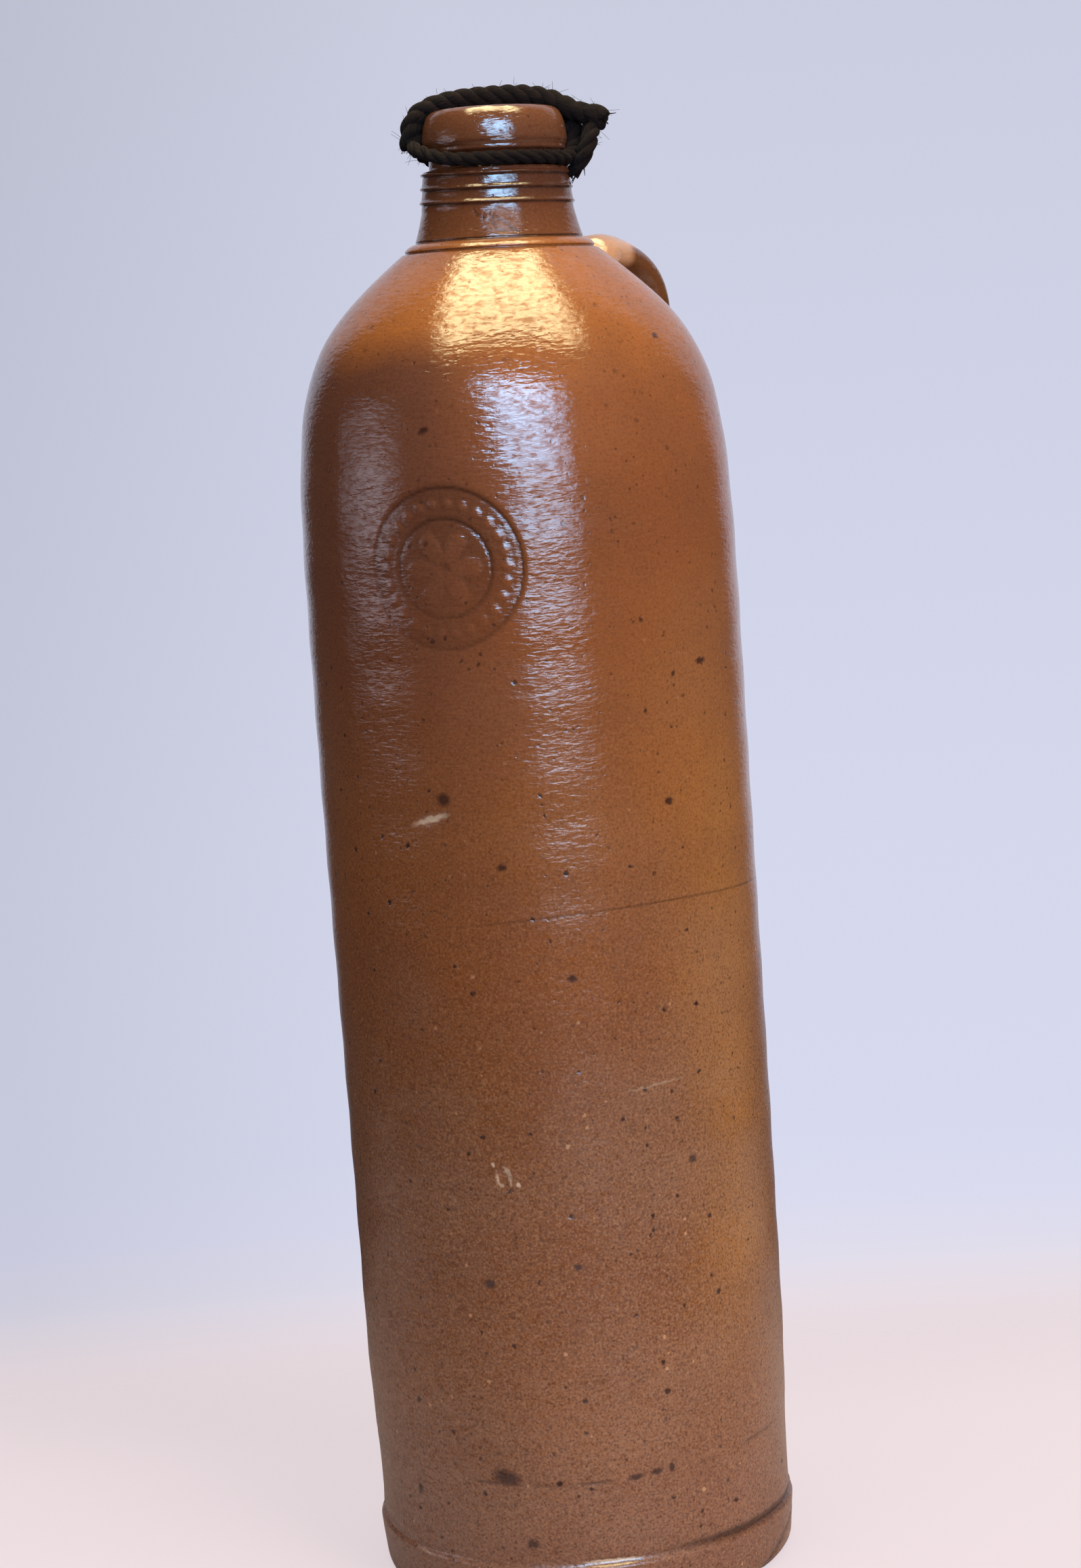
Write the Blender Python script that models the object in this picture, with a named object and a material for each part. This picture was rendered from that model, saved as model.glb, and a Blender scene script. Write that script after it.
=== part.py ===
"""Salt-glazed stoneware water bottle with an ear handle, a cork and a twine tie-down.

The body is turned from one profile, hollow and open at the mouth. A strap handle is luted to the
shoulder. A tapered cork closes the bore, a turn of twine is knotted round the neck under the lip,
and a strand of the same twine crosses the mouth and holds the cork down.

Frame: metres, +Z up, origin at the centre of the flat base, handle towards +Y.
"""

import math

import bmesh
import bpy
from mathutils import Vector

MM = 0.001

# Foot and cylinder
BODY_RADIUS = 43.6 * MM
CYLINDER_HEIGHT = 194.3 * MM
BASE_INSET = 1.0 * MM
BASE_EDGE_ROUND = 2.0 * MM
FOOT_HEIGHT = 12.5 * MM
FOOT_INSET = 0.2 * MM
CREASE_DEPTH = 1.0 * MM
WAIST_BEND_HEIGHT = 31.0 * MM
WAIST_TOP_HEIGHT = 54.0 * MM

# Inside
WALL = 6.8 * MM
BASE_THICKNESS = 9.0 * MM
FLOOR_ROUND = 6.0 * MM
BORE_RADIUS = 9.0 * MM
BORE_LENGTH = 29.0 * MM
MOUTH_ROUND = 1.0 * MM

# Shoulder
SHOULDER_RISE = 75.0 * MM
SHOULDER_FULLNESS = 51.5 * MM
SHOULDER_TOP_RUN = 29.7 * MM
SHOULDER_TOP_SLOPE = math.radians(38.0)
SHOULDER_LEDGE = 1.4 * MM

# Neck: a half-round ring on the shoulder, a flare, and a taper with turned ridges
NECK_WALL = 5.9 * MM
NECK_TAPER = math.radians(9.6)
NECK_RING_ROUND = 1.0 * MM
NECK_RING_STAND = 2.6 * MM
NECK_FLARE_HEIGHT = 6.0 * MM
NECK_FLARE_SLOPE = math.radians(52.0)
NECK_PLAIN_HEIGHT = 0.7 * MM
RIDGE_COUNT = 3
RIDGE_STEP = 2.75 * MM
RIDGE_DEPTH = 0.6 * MM
RIDGE_UNDERCUT = 0.45 * MM
RIDGE_TOP_RUN = 0.95 * MM

# Tie groove and lip
GROOVE_DEPTH = 1.7 * MM
GROOVE_SLACK = 0.2 * MM
LIP_HEIGHT = 8.8 * MM
LIP_FLAT = 0.9 * MM
LIP_ROUND = 3.6 * MM
LIP_EDGE_ROUND = 0.7 * MM

# Ear handle, a strap in the YZ plane, with its places measured from the neck ring and the cylinder
HANDLE_WIDTH = 22.0 * MM
HANDLE_THICKNESS = 8.0 * MM
HANDLE_ROOT_FLARE = 1.22
HANDLE_SQUARENESS = 0.75
HANDLE_STAND_OUT = 10.4 * MM
HANDLE_TOP_DROP = 2.6 * MM
HANDLE_TOP_DEPTH = 1.5 * MM
HANDLE_RISE = 3.6 * MM
HANDLE_BOW_DROP = 16.3 * MM
HANDLE_FOOT_DROP = 38.3 * MM
HANDLE_FOOT_DEPTH = 6.8 * MM
HANDLE_UPPER_RUN = 0.65
HANDLE_UPPER_FALL = 0.6
HANDLE_LOWER_RUN = 0.7
HANDLE_LOWER_FALL = 0.5

# Cork
CORK_LENGTH = 26.0 * MM
CORK_TAPER = 0.7 * MM
CORK_EDGE_ROUND = 0.6 * MM

# Twine
TWINE_RADIUS = 1.55 * MM
TIE_TURN = math.radians(31.0)
KNOT_SPREAD = math.radians(35.0)
LOOP_LIFT = math.radians(85.0)
LOOP_SPAN = math.radians(75.0)
BAIL_END_SLOPE = math.radians(40.0)
BAIL_OVERHANG = 7.5 * MM

# Clearances
SEAT_GAP = 0.3 * MM
CORK_GAP = 0.3 * MM
TWINE_GAP = 0.35 * MM

# Facets
TURN_FACETS = 48
SHOULDER_STEPS = 16
INNER_SHOULDER_STEPS = 10
HANDLE_STEPS = 12
HANDLE_RING_POINTS = 18
LOOP_POINTS = 24
ROUTE_STEPS = 20

# Radii that follow from the sizes above
LIP_RADIUS = BORE_RADIUS + MOUTH_ROUND + LIP_FLAT + LIP_ROUND
NECK_RADIUS = BORE_RADIUS + NECK_WALL
GROOVE_RADIUS = NECK_RADIUS - GROOVE_DEPTH
NECK_RING_RADIUS = NECK_RADIUS + NECK_RING_STAND
SHOULDER_TOP_RADIUS = NECK_RING_RADIUS + SHOULDER_LEDGE
CREASE_RADIUS = BODY_RADIUS - CREASE_DEPTH
CORK_RADIUS = BORE_RADIUS - CORK_GAP
TWINE_TURN_RADIUS = GROOVE_RADIUS + TWINE_GAP + TWINE_RADIUS

# Heights that follow from the sizes above
NECK_RING_HEIGHT = CYLINDER_HEIGHT + SHOULDER_RISE
FLARE_FOOT = NECK_RING_HEIGHT + 2 * NECK_RING_ROUND
FLARE_TOP = FLARE_FOOT + NECK_FLARE_HEIGHT
LOWEST_CREST = FLARE_TOP + NECK_PLAIN_HEIGHT + RIDGE_UNDERCUT
GROOVE_FOOT = LOWEST_CREST + (RIDGE_COUNT - 1) * RIDGE_STEP + RIDGE_TOP_RUN
LIP_UNDERSIDE = GROOVE_FOOT + 2 * TWINE_RADIUS + GROOVE_SLACK
TOTAL_HEIGHT = LIP_UNDERSIDE + LIP_HEIGHT
TWINE_HEIGHT = LIP_UNDERSIDE - TWINE_GAP - TWINE_RADIUS


def clear_scene():
    """Removes every object, so that the script can run again in the same file."""
    for old in list(bpy.data.objects):
        bpy.data.objects.remove(old, do_unlink=True)


def finish_material(name, colour, roughness):
    """A Principled material with one colour and one roughness."""
    material = bpy.data.materials.new(name)
    material.use_nodes = True
    shader = material.node_tree.nodes["Principled BSDF"]
    shader.inputs["Base Color"].default_value = (*colour, 1.0)
    shader.inputs["Roughness"].default_value = roughness
    shader.inputs["Metallic"].default_value = 0.0
    return material


def arc(centre, radius, start, end, steps):
    """Points on a circular arc in the (r, z) plane, from one angle to another in degrees."""
    points = []
    for step in range(steps + 1):
        angle = math.radians(start + (end - start) * step / steps)
        points.append((centre[0] + radius * math.cos(angle), centre[1] + radius * math.sin(angle)))
    return points


def bezier(p0, p1, p2, p3, steps):
    """Points on a cubic curve, from its first to its last control point."""
    points = []
    for step in range(steps + 1):
        t = step / steps
        u = 1.0 - t
        weights = (u ** 3, 3 * u * u * t, 3 * u * t * t, t ** 3)
        points.append(tuple(
            sum(w * p[axis] for w, p in zip(weights, (p0, p1, p2, p3)))
            for axis in range(2)
        ))
    return points


def shoulder_curve(inset, steps):
    """The shoulder from the neck ring down to the cylinder, moved inwards by a wall thickness."""
    top = (SHOULDER_TOP_RADIUS, NECK_RING_HEIGHT)
    bottom = (BODY_RADIUS, CYLINDER_HEIGHT)
    top_handle = (
        top[0] + SHOULDER_TOP_RUN * math.cos(SHOULDER_TOP_SLOPE),
        top[1] - SHOULDER_TOP_RUN * math.sin(SHOULDER_TOP_SLOPE),
    )
    bottom_handle = (bottom[0], bottom[1] + SHOULDER_FULLNESS)
    curve = bezier(top, top_handle, bottom_handle, bottom, steps)
    moved = []
    for index, (r, z) in enumerate(curve):
        before = curve[max(index - 1, 0)]
        after = curve[min(index + 1, len(curve) - 1)]
        along = Vector((after[0] - before[0], after[1] - before[1])).normalized()
        moved.append((r + along.y * inset, z - along.x * inset))
    return moved


def lip_profile():
    """Mouth edge, lip and the groove below it, from the bore outwards and down."""
    mouth = arc((BORE_RADIUS + MOUTH_ROUND, TOTAL_HEIGHT - MOUTH_ROUND), MOUTH_ROUND, 180, 90, 3)
    outer = arc((LIP_RADIUS - LIP_ROUND, TOTAL_HEIGHT - LIP_ROUND), LIP_ROUND, 90, 0, 6)
    edge = arc((LIP_RADIUS - LIP_EDGE_ROUND, LIP_UNDERSIDE + LIP_EDGE_ROUND), LIP_EDGE_ROUND, 0, -90, 2)
    groove_top = (GROOVE_RADIUS, LIP_UNDERSIDE - LIP_EDGE_ROUND / 4)
    return mouth + outer + edge + [groove_top, (GROOVE_RADIUS, GROOVE_FOOT)]


def neck_wall(height):
    """Radius of the tapered neck at a height above its flare."""
    return NECK_RADIUS - (height - FLARE_TOP) * math.tan(NECK_TAPER)


def neck_profile():
    """Turned ridges with undercut lower edges, flare and neck ring, from the groove down to the shoulder."""
    points = []
    for ridge in reversed(range(RIDGE_COUNT)):
        crest = LOWEST_CREST + ridge * RIDGE_STEP
        points.append((neck_wall(crest) + RIDGE_DEPTH, crest))
        points.append((neck_wall(crest), crest - RIDGE_UNDERCUT))
    ring = arc((NECK_RING_RADIUS, NECK_RING_HEIGHT + NECK_RING_ROUND), NECK_RING_ROUND, 90, -60, 5)
    third = NECK_FLARE_HEIGHT / 3
    flare = bezier(
        (NECK_RADIUS, FLARE_TOP),
        (neck_wall(FLARE_TOP - third), FLARE_TOP - third),
        (
            NECK_RING_RADIUS - third * math.cos(NECK_FLARE_SLOPE),
            FLARE_FOOT + third * math.sin(NECK_FLARE_SLOPE),
        ),
        ring[0],
        5,
    )
    return points + flare + ring[1:]


def foot_profile():
    """Slightly drawn-in waist, crease, slumped foot ridge and rounded bottom edge."""
    waist = bezier(
        (BODY_RADIUS, WAIST_TOP_HEIGHT),
        (BODY_RADIUS, WAIST_BEND_HEIGHT),
        (CREASE_RADIUS, WAIST_BEND_HEIGHT),
        (CREASE_RADIUS, FOOT_HEIGHT),
        6,
    )
    ridge_radius = BODY_RADIUS - FOOT_INSET
    ridge = (ridge_radius, FOOT_HEIGHT - (ridge_radius - CREASE_RADIUS))
    edge_centre = (BODY_RADIUS - BASE_INSET - BASE_EDGE_ROUND, BASE_EDGE_ROUND)
    return waist + [ridge] + arc(edge_centre, BASE_EDGE_ROUND, 0, -90, 3)


def outer_profile():
    """Outside of the body, from the mouth down to the rim of the flat base."""
    return lip_profile() + neck_profile() + shoulder_curve(0.0, SHOULDER_STEPS) + foot_profile()


def inner_profile():
    """Inside of the body, from the middle of its floor up to the lower end of the bore."""
    inner_radius = BODY_RADIUS - WALL
    floor_edge = arc(
        (inner_radius - FLOOR_ROUND, BASE_THICKNESS + FLOOR_ROUND), FLOOR_ROUND, -90, 0, 4
    )
    bore_foot = (BORE_RADIUS, TOTAL_HEIGHT - BORE_LENGTH)
    shoulder = [
        point for point in reversed(shoulder_curve(WALL, INNER_SHOULDER_STEPS))
        if point[0] > bore_foot[0] and point[1] < bore_foot[1]
    ]
    return [(0.0, BASE_THICKNESS)] + floor_edge + shoulder + [bore_foot]


def turned_object(name, profile, material):
    """A solid of revolution: the profile runs down its outer side and is turned about Z."""
    mesh = bpy.data.meshes.new(name)
    vertices = [(r, 0.0, z) for r, z in profile]
    edges = [(index, index + 1) for index in range(len(profile) - 1)]
    mesh.from_pydata(vertices, edges, [])
    turned = bpy.data.objects.new(name, mesh)
    bpy.context.scene.collection.objects.link(turned)
    screw = turned.modifiers.new("turn", "SCREW")
    screw.axis = "Z"
    screw.steps = TURN_FACETS
    screw.render_steps = TURN_FACETS
    screw.use_merge_vertices = True
    screw.merge_threshold = 0.00001
    screw.use_smooth_shade = True
    if material:
        mesh.materials.append(material)
    return turned


def make_body(material):
    """The hollow stoneware vessel, one profile from its floor over the lip to its base."""
    profile = inner_profile() + outer_profile() + [(0.0, 0.0)]
    return turned_object("bottle_body", profile, material)


def make_handle_seat():
    """Cutter: the shoulder and cylinder grown by the seat gap, which shapes the handle's roots."""
    grown = shoulder_curve(-SEAT_GAP, SHOULDER_STEPS)
    ring_reach = NECK_RING_RADIUS + NECK_RING_ROUND + SEAT_GAP
    top = FLARE_TOP + HANDLE_THICKNESS
    profile = [(0.0, top), (ring_reach, top), (ring_reach, grown[0][1] + SEAT_GAP)] + grown
    lowest = CYLINDER_HEIGHT - HANDLE_WIDTH
    profile += [(BODY_RADIUS + SEAT_GAP, lowest), (0.0, lowest)]
    seat = turned_object("handle_seat_cutter", profile, None)
    seat.hide_render = True
    seat.display_type = "WIRE"
    return seat


def handle_path():
    """Middle line of the strap in the (y, z) plane: out from the neck ring, bowed, back to the shoulder."""
    start = (SHOULDER_TOP_RADIUS - HANDLE_TOP_DEPTH, NECK_RING_HEIGHT - HANDLE_TOP_DROP)
    bow = (BODY_RADIUS + HANDLE_STAND_OUT - HANDLE_THICKNESS / 2, NECK_RING_HEIGHT - HANDLE_BOW_DROP)
    end = (BODY_RADIUS - HANDLE_FOOT_DEPTH, NECK_RING_HEIGHT - HANDLE_FOOT_DROP)
    upper_run = HANDLE_UPPER_RUN * (bow[0] - start[0])
    upper_fall = HANDLE_UPPER_FALL * (start[1] - bow[1])
    lower_run = HANDLE_LOWER_RUN * (bow[0] - end[0])
    lower_fall = HANDLE_LOWER_FALL * (bow[1] - end[1])
    upper = bezier(
        start,
        (start[0] + upper_run, start[1] + HANDLE_RISE),
        (bow[0], bow[1] + upper_fall),
        bow,
        HANDLE_STEPS,
    )
    lower = bezier(
        bow,
        (bow[0], bow[1] - lower_fall),
        (end[0] + lower_run, end[1] + lower_run),
        end,
        HANDLE_STEPS,
    )
    return upper + lower[1:]


def handle_sections():
    """Stations along the strap: centre, normal in the strap's plane, half width and half thickness."""
    path = handle_path()
    sections = []
    for index, centre in enumerate(path):
        before = path[max(index - 1, 0)]
        after = path[min(index + 1, len(path) - 1)]
        along = Vector((after[0] - before[0], after[1] - before[1])).normalized()
        t = index / (len(path) - 1)
        flare = 1.0 + (HANDLE_ROOT_FLARE - 1.0) * abs(2 * t - 1) ** 3
        normal = (-along.y, along.x)
        sections.append((centre, normal, HANDLE_WIDTH / 2 * flare, HANDLE_THICKNESS / 2 * flare))
    return sections


def make_handle(material, seat):
    """The luted strap: rounded oblong sections along a bowed path, trimmed to the body's outside."""
    shape = bmesh.new()
    rings = []
    for (y, z), (ny, nz), half_width, half_thickness in handle_sections():
        ring = []
        for point in range(HANDLE_RING_POINTS):
            angle = 2 * math.pi * point / HANDLE_RING_POINTS
            c = math.copysign(abs(math.cos(angle)) ** HANDLE_SQUARENESS, math.cos(angle))
            s = math.copysign(abs(math.sin(angle)) ** HANDLE_SQUARENESS, math.sin(angle))
            offset = half_thickness * s
            ring.append(shape.verts.new((half_width * c, y + ny * offset, z + nz * offset)))
        rings.append(ring)
    for first, second in zip(rings, rings[1:]):
        for point in range(HANDLE_RING_POINTS):
            following = (point + 1) % HANDLE_RING_POINTS
            shape.faces.new((first[point], first[following], second[following], second[point]))
    shape.faces.new(list(reversed(rings[0])))
    shape.faces.new(rings[-1])
    bmesh.ops.recalc_face_normals(shape, faces=shape.faces)
    mesh = bpy.data.meshes.new("ear_handle")
    shape.to_mesh(mesh)
    shape.free()
    mesh.shade_smooth()
    mesh.materials.append(material)
    handle = bpy.data.objects.new("ear_handle", mesh)
    bpy.context.scene.collection.objects.link(handle)
    trim = handle.modifiers.new("seat", "BOOLEAN")
    trim.operation = "DIFFERENCE"
    trim.object = seat
    return handle


def make_cork(material, closure):
    """A tapered cork, level with the lip. Its origin is on the axis that it is drawn along."""
    foot_radius = CORK_RADIUS - CORK_TAPER
    profile = [
        (0.0, 0.0),
        (CORK_RADIUS - CORK_EDGE_ROUND, 0.0),
        (CORK_RADIUS, -CORK_EDGE_ROUND),
        (foot_radius, -CORK_LENGTH + CORK_EDGE_ROUND),
        (foot_radius - CORK_EDGE_ROUND, -CORK_LENGTH),
        (0.0, -CORK_LENGTH),
    ]
    cork = turned_object("cork_stopper", profile, material)
    cork.parent = closure
    return cork


def smooth_route(points, spacing):
    """Points at an even spacing on a smooth curve through a route's own points."""
    ends = [2 * points[0] - points[1]] + points + [2 * points[-1] - points[-2]]
    fine = []
    for p0, p1, p2, p3 in zip(ends, ends[1:], ends[2:], ends[3:]):
        for step in range(ROUTE_STEPS):
            t = step / ROUTE_STEPS
            fine.append(0.5 * (
                2 * p1 + (p2 - p0) * t
                + (2 * p0 - 5 * p1 + 4 * p2 - p3) * t * t
                + (3 * p1 - p0 - 3 * p2 + p3) * t ** 3
            ))
    fine.append(points[-1])
    lengths = [0.0]
    for a, b in zip(fine, fine[1:]):
        lengths.append(lengths[-1] + (b - a).length)
    count = max(round(lengths[-1] / spacing), 2)
    even = []
    segment = 0
    for index in range(count + 1):
        wanted = lengths[-1] * index / count
        while segment < len(fine) - 2 and lengths[segment + 1] < wanted:
            segment += 1
        share = (wanted - lengths[segment]) / (lengths[segment + 1] - lengths[segment])
        even.append(fine[segment].lerp(fine[segment + 1], share))
    return even


def least_gap(route, radius):
    """Least clear distance between stretches of one tube that are more than six radii apart along it."""
    step = (route[1] - route[0]).length
    apart = math.ceil(6 * radius / step)
    nearest = min(
        (route[i] - route[j]).length
        for i in range(len(route))
        for j in range(i + apart, len(route))
    )
    return nearest - 2 * radius


def twine_object(name, route, sides_resolution, material, parent):
    """A round tube along a route, with closed ends."""
    curve = bpy.data.curves.new(name, "CURVE")
    curve.dimensions = "3D"
    curve.bevel_depth = TWINE_RADIUS
    curve.bevel_resolution = sides_resolution
    curve.use_fill_caps = True
    spline = curve.splines.new("POLY")
    spline.points.add(len(route) - 1)
    for point, place in zip(spline.points, route):
        point.co = (*place, 1.0)
    curve.materials.append(material)
    twine = bpy.data.objects.new(name, curve)
    bpy.context.scene.collection.objects.link(twine)
    twine.parent = parent
    return twine


def on_neck(outwards, azimuth, upwards):
    """A place near the neck turn: distance out from it, angle from the knot, and height above it."""
    radius = TWINE_TURN_RADIUS + outwards
    return Vector((radius * math.cos(azimuth), radius * math.sin(azimuth), TWINE_HEIGHT + upwards))


def lifted_turn(azimuth):
    """A place on the neck turn: opposite the knot it is rolled up round the lip's lower edge by the bail."""
    from_bail = abs(math.remainder(azimuth - math.pi, 2 * math.pi))
    share = math.cos(math.pi / 2 * min(from_bail / LOOP_SPAN, 1.0)) ** 2
    edge_out = LIP_RADIUS - LIP_EDGE_ROUND - TWINE_TURN_RADIUS
    edge_up = LIP_UNDERSIDE + LIP_EDGE_ROUND - TWINE_HEIGHT
    roll = LOOP_LIFT * share
    out = edge_out - edge_out * math.cos(roll) + edge_up * math.sin(roll)
    up = edge_up - edge_out * math.sin(roll) - edge_up * math.cos(roll)
    return on_neck(out, azimuth, up)


def make_neck_turn(material, tie):
    """The turn round the neck: its front end rises under the bail's end, its back end hangs below."""
    upper_end = [(4.4, 3, 2.6), (3.9, -3, 2.1), (2.8, -11, 1.3), (1.2, -22, 0.4)]
    lower_end = [(1.5, 21, 0.2), (2.7, 9, -1.2), (2.7, 1, -3.2), (2.2, -3, -5.4)]
    route = [on_neck(out * MM, math.radians(angle), up * MM) for out, angle, up in upper_end]
    sweep = 2 * math.pi - 2 * KNOT_SPREAD
    for point in range(LOOP_POINTS + 1):
        route.append(lifted_turn(-KNOT_SPREAD - sweep * point / LOOP_POINTS))
    route += [on_neck(out * MM, math.radians(angle), up * MM) for out, angle, up in lower_end]
    even = smooth_route(route, 1.5 * TWINE_RADIUS)
    print(f"twine_neck_turn least gap to itself: {least_gap(even, TWINE_RADIUS) / MM:.2f} mm")
    twine_object("twine_neck_turn", even, 1, material, tie)


def make_bail(material, closure):
    """The strand over the mouth: up the left of the lip, across the cork and out over the knot."""
    bend_centre = (LIP_RADIUS - LIP_ROUND, -LIP_ROUND)
    bend = LIP_ROUND + TWINE_GAP + TWINE_RADIUS
    loop_top = lifted_turn(math.pi).z + TWINE_RADIUS
    left = [(-bend_centre[0] - bend, loop_top + SEAT_GAP - TOTAL_HEIGHT)]
    left += [(-r, z) for r, z in arc(bend_centre, bend, 0, 90, 8)]
    right = arc(bend_centre, bend, 90, 90 - math.degrees(BAIL_END_SLOPE), 6)
    leaves = right[-1]
    reach = LIP_RADIUS + BAIL_OVERHANG
    right.append((reach, leaves[1] - (reach - leaves[0]) * math.tan(BAIL_END_SLOPE)))
    points = [Vector((x, 0.0, z)) for x, z in left + right]
    twine_object("twine_bail", points, 2, material, closure)


def empty(name, location, turn, parent=None):
    """A plain frame that pieces are parented to."""
    frame = bpy.data.objects.new(name, None)
    bpy.context.scene.collection.objects.link(frame)
    frame.location = location
    frame.rotation_euler = (0.0, 0.0, turn)
    frame.parent = parent
    return frame


def main():
    clear_scene()
    stoneware = finish_material("salt_glazed_stoneware", (0.30, 0.13, 0.055), 0.3)
    cork = finish_material("cut_cork", (0.40, 0.24, 0.12), 0.85)
    twine = finish_material("tarred_hemp_twine", (0.018, 0.013, 0.010), 0.9)
    tie = empty("tie", (0.0, 0.0, 0.0), TIE_TURN)
    closure = empty("closure", (0.0, 0.0, TOTAL_HEIGHT), 0.0, tie)
    make_body(stoneware)
    make_handle(stoneware, make_handle_seat())
    make_cork(cork, closure)
    make_neck_turn(twine, tie)
    make_bail(twine, closure)


main()
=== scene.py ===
import math

import bpy
import numpy as np
from mathutils import Matrix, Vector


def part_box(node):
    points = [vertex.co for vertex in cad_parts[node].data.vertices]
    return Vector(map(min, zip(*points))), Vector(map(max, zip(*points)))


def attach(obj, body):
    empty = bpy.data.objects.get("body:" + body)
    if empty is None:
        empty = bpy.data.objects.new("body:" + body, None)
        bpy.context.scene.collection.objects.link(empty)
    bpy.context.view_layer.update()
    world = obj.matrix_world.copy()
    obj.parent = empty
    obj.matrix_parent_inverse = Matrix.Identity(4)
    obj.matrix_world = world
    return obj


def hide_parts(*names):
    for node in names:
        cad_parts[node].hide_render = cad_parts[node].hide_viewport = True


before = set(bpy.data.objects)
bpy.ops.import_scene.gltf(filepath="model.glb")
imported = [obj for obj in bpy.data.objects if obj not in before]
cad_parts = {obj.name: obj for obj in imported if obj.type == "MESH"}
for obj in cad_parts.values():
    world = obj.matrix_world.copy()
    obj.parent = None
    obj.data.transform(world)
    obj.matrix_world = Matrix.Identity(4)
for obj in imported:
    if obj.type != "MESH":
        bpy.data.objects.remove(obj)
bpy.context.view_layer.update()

# The vessel: stoneware clay thrown on the wheel in one piece, hollow, with a turned foot, a long
# cylinder, a full shoulder and a neck ribbed with a wooden tool. It was fired with salt thrown into
# the kiln, which glazed it brown, and it stands on its bare flat base.
MM = 0.001
FACE_TURN = math.radians(31)
FLOOR_HEIGHT = 9.0
INNER_RADIUS = 36.8
INNER_CORNER = 6.0
WALL = 6.8
BORE_RADIUS = 9.0
BORE_FOOT = 268.0
MOUTH_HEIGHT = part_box("bottle_body")[1].z / MM
LIP_RADIUS = 14.5
LIP_FOOT = 290.0
GROOVE_RADIUS = 13.2
NECK_TOP = (14.5, 285.15)
NECK_FOOT = (15.15, 277.3)
SHOULDER_TOP = (19.5, 269.3)
SHOULDER_FOOT = 194.3
BODY_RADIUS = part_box("bottle_body")[1].x / MM
WAIST_TOP = 54
WAIST_BEND = 31
FOOT_RADIUS = 42.6
FOOT_TOP = (FOOT_RADIUS, 11.9)
FOOT_LEDGE = (43.3, 11.1)
FOOT_ROUNDING = 2
LEAN = math.radians(1.2)
LEAN_PIVOT = 250.0


def line(start, end, count=40):
    """Points on a straight line: start plus equal shares of the way to the end."""
    share = np.linspace(0, 1, count)[:, None]
    return np.array(start) * (1 - share) + np.array(end) * share


def arc(centre, radius, start, end, count=60):
    """Points on a circle: centre plus radius times the cosine and sine of angles in degrees."""
    angle = np.radians(np.linspace(start, end, count))
    return np.column_stack([centre[0] + radius * np.cos(angle), centre[1] + radius * np.sin(angle)])


def sweep(start, lead, follow, end, count=400):
    """Points on a cubic curve: the four control points weighted by the products of t and 1 - t."""
    t = np.linspace(0, 1, count)[:, None]
    near = np.array(start) * (1 - t) ** 3 + 3 * np.array(lead) * t * (1 - t) ** 2
    return near + 3 * np.array(follow) * t**2 * (1 - t) + np.array(end) * t**3


def stations(path, spacing):
    """Rows along a drawn profile: its length divided by the local spacing is summed up, and the
    profile is read off where that sum passes equal steps."""
    length = np.hypot(*np.diff(path, axis=0).T)
    count = np.concatenate([[0], np.cumsum(length * 2 / (spacing[1:] + spacing[:-1]))])
    wanted = np.linspace(0, count[-1], int(np.ceil(count[-1])) + 1)
    return np.column_stack([np.interp(wanted, count, path[:, k]) for k in range(2)])


def fade(value, start, end):
    """A soft step: 0 at start, 1 at end, with the cubic 3s² - 2s³ between."""
    share = np.clip((value - start) / (end - start), 0, 1)
    return share * share * (3 - 2 * share)


def dent(distance, width):
    """A rounded hollow of depth 1: the bell curve of distance over width."""
    return np.exp(-((distance / width) ** 2))


def leaned(points):
    """The neck was set a little askew in the clay: points above the shoulder turn about the line of
    sight through the pivot, by the lean angle times a soft step in height."""
    right = np.array([math.cos(FACE_TURN), math.sin(FACE_TURN), 0])
    angle = LEAN * fade(points[..., 2], 235, 268)
    across = points @ right
    rise = points[..., 2] - LEAN_PIVOT
    shift = across * (np.cos(angle) - 1) + rise * np.sin(angle)
    moved = points + shift[..., None] * right
    moved[..., 2] = LEAN_PIVOT + rise * np.cos(angle) - across * np.sin(angle)
    return moved


def solid(name, points, faces):
    """A smooth object from points in metres and the faces between them."""
    mesh = bpy.data.meshes.new(name)
    mesh.from_pydata(points, [], faces)
    mesh.polygons.foreach_set("use_smooth", np.ones(len(faces), dtype=bool))
    piece = bpy.data.objects.new(name, mesh)
    bpy.context.collection.objects.link(piece)
    return piece


def skin(name, grid, first, last):
    """A closed mesh on a grid of points in millimetres, rows by columns: four neighbours make a quad,
    the last column joins the first, and each end row closes in a fan round its own pole."""
    rows, columns = grid.shape[:2]
    row, column = np.meshgrid(np.arange(rows - 1), np.arange(columns), indexing="ij")
    beside = (column + 1) % columns
    corners = (row * columns + column, (row + 1) * columns + column)
    quads = np.stack([*corners, (row + 1) * columns + beside, row * columns + beside], axis=-1)
    edge = np.arange(columns)
    ahead = (edge + 1) % columns
    top_row = (rows - 1) * columns
    pole = rows * columns + np.zeros(columns, dtype=int)
    opening = np.column_stack([pole, edge, ahead])
    closing = np.column_stack([top_row + edge, pole + 1, top_row + ahead])
    points = np.vstack([grid.reshape(-1, 3), [first, last]]) * MM
    return solid(name, points, quads.reshape(-1, 4).tolist() + opening.tolist() + closing.tolist())


def mark(piece, name, values):
    """Stores one number per point of the piece's grid, with 0 at the two poles."""
    layer = piece.data.attributes.new(name, "FLOAT", "POINT")
    layer.data.foreach_set("value", np.append(values.ravel(), [0, 0]).astype(np.float32))


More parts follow.
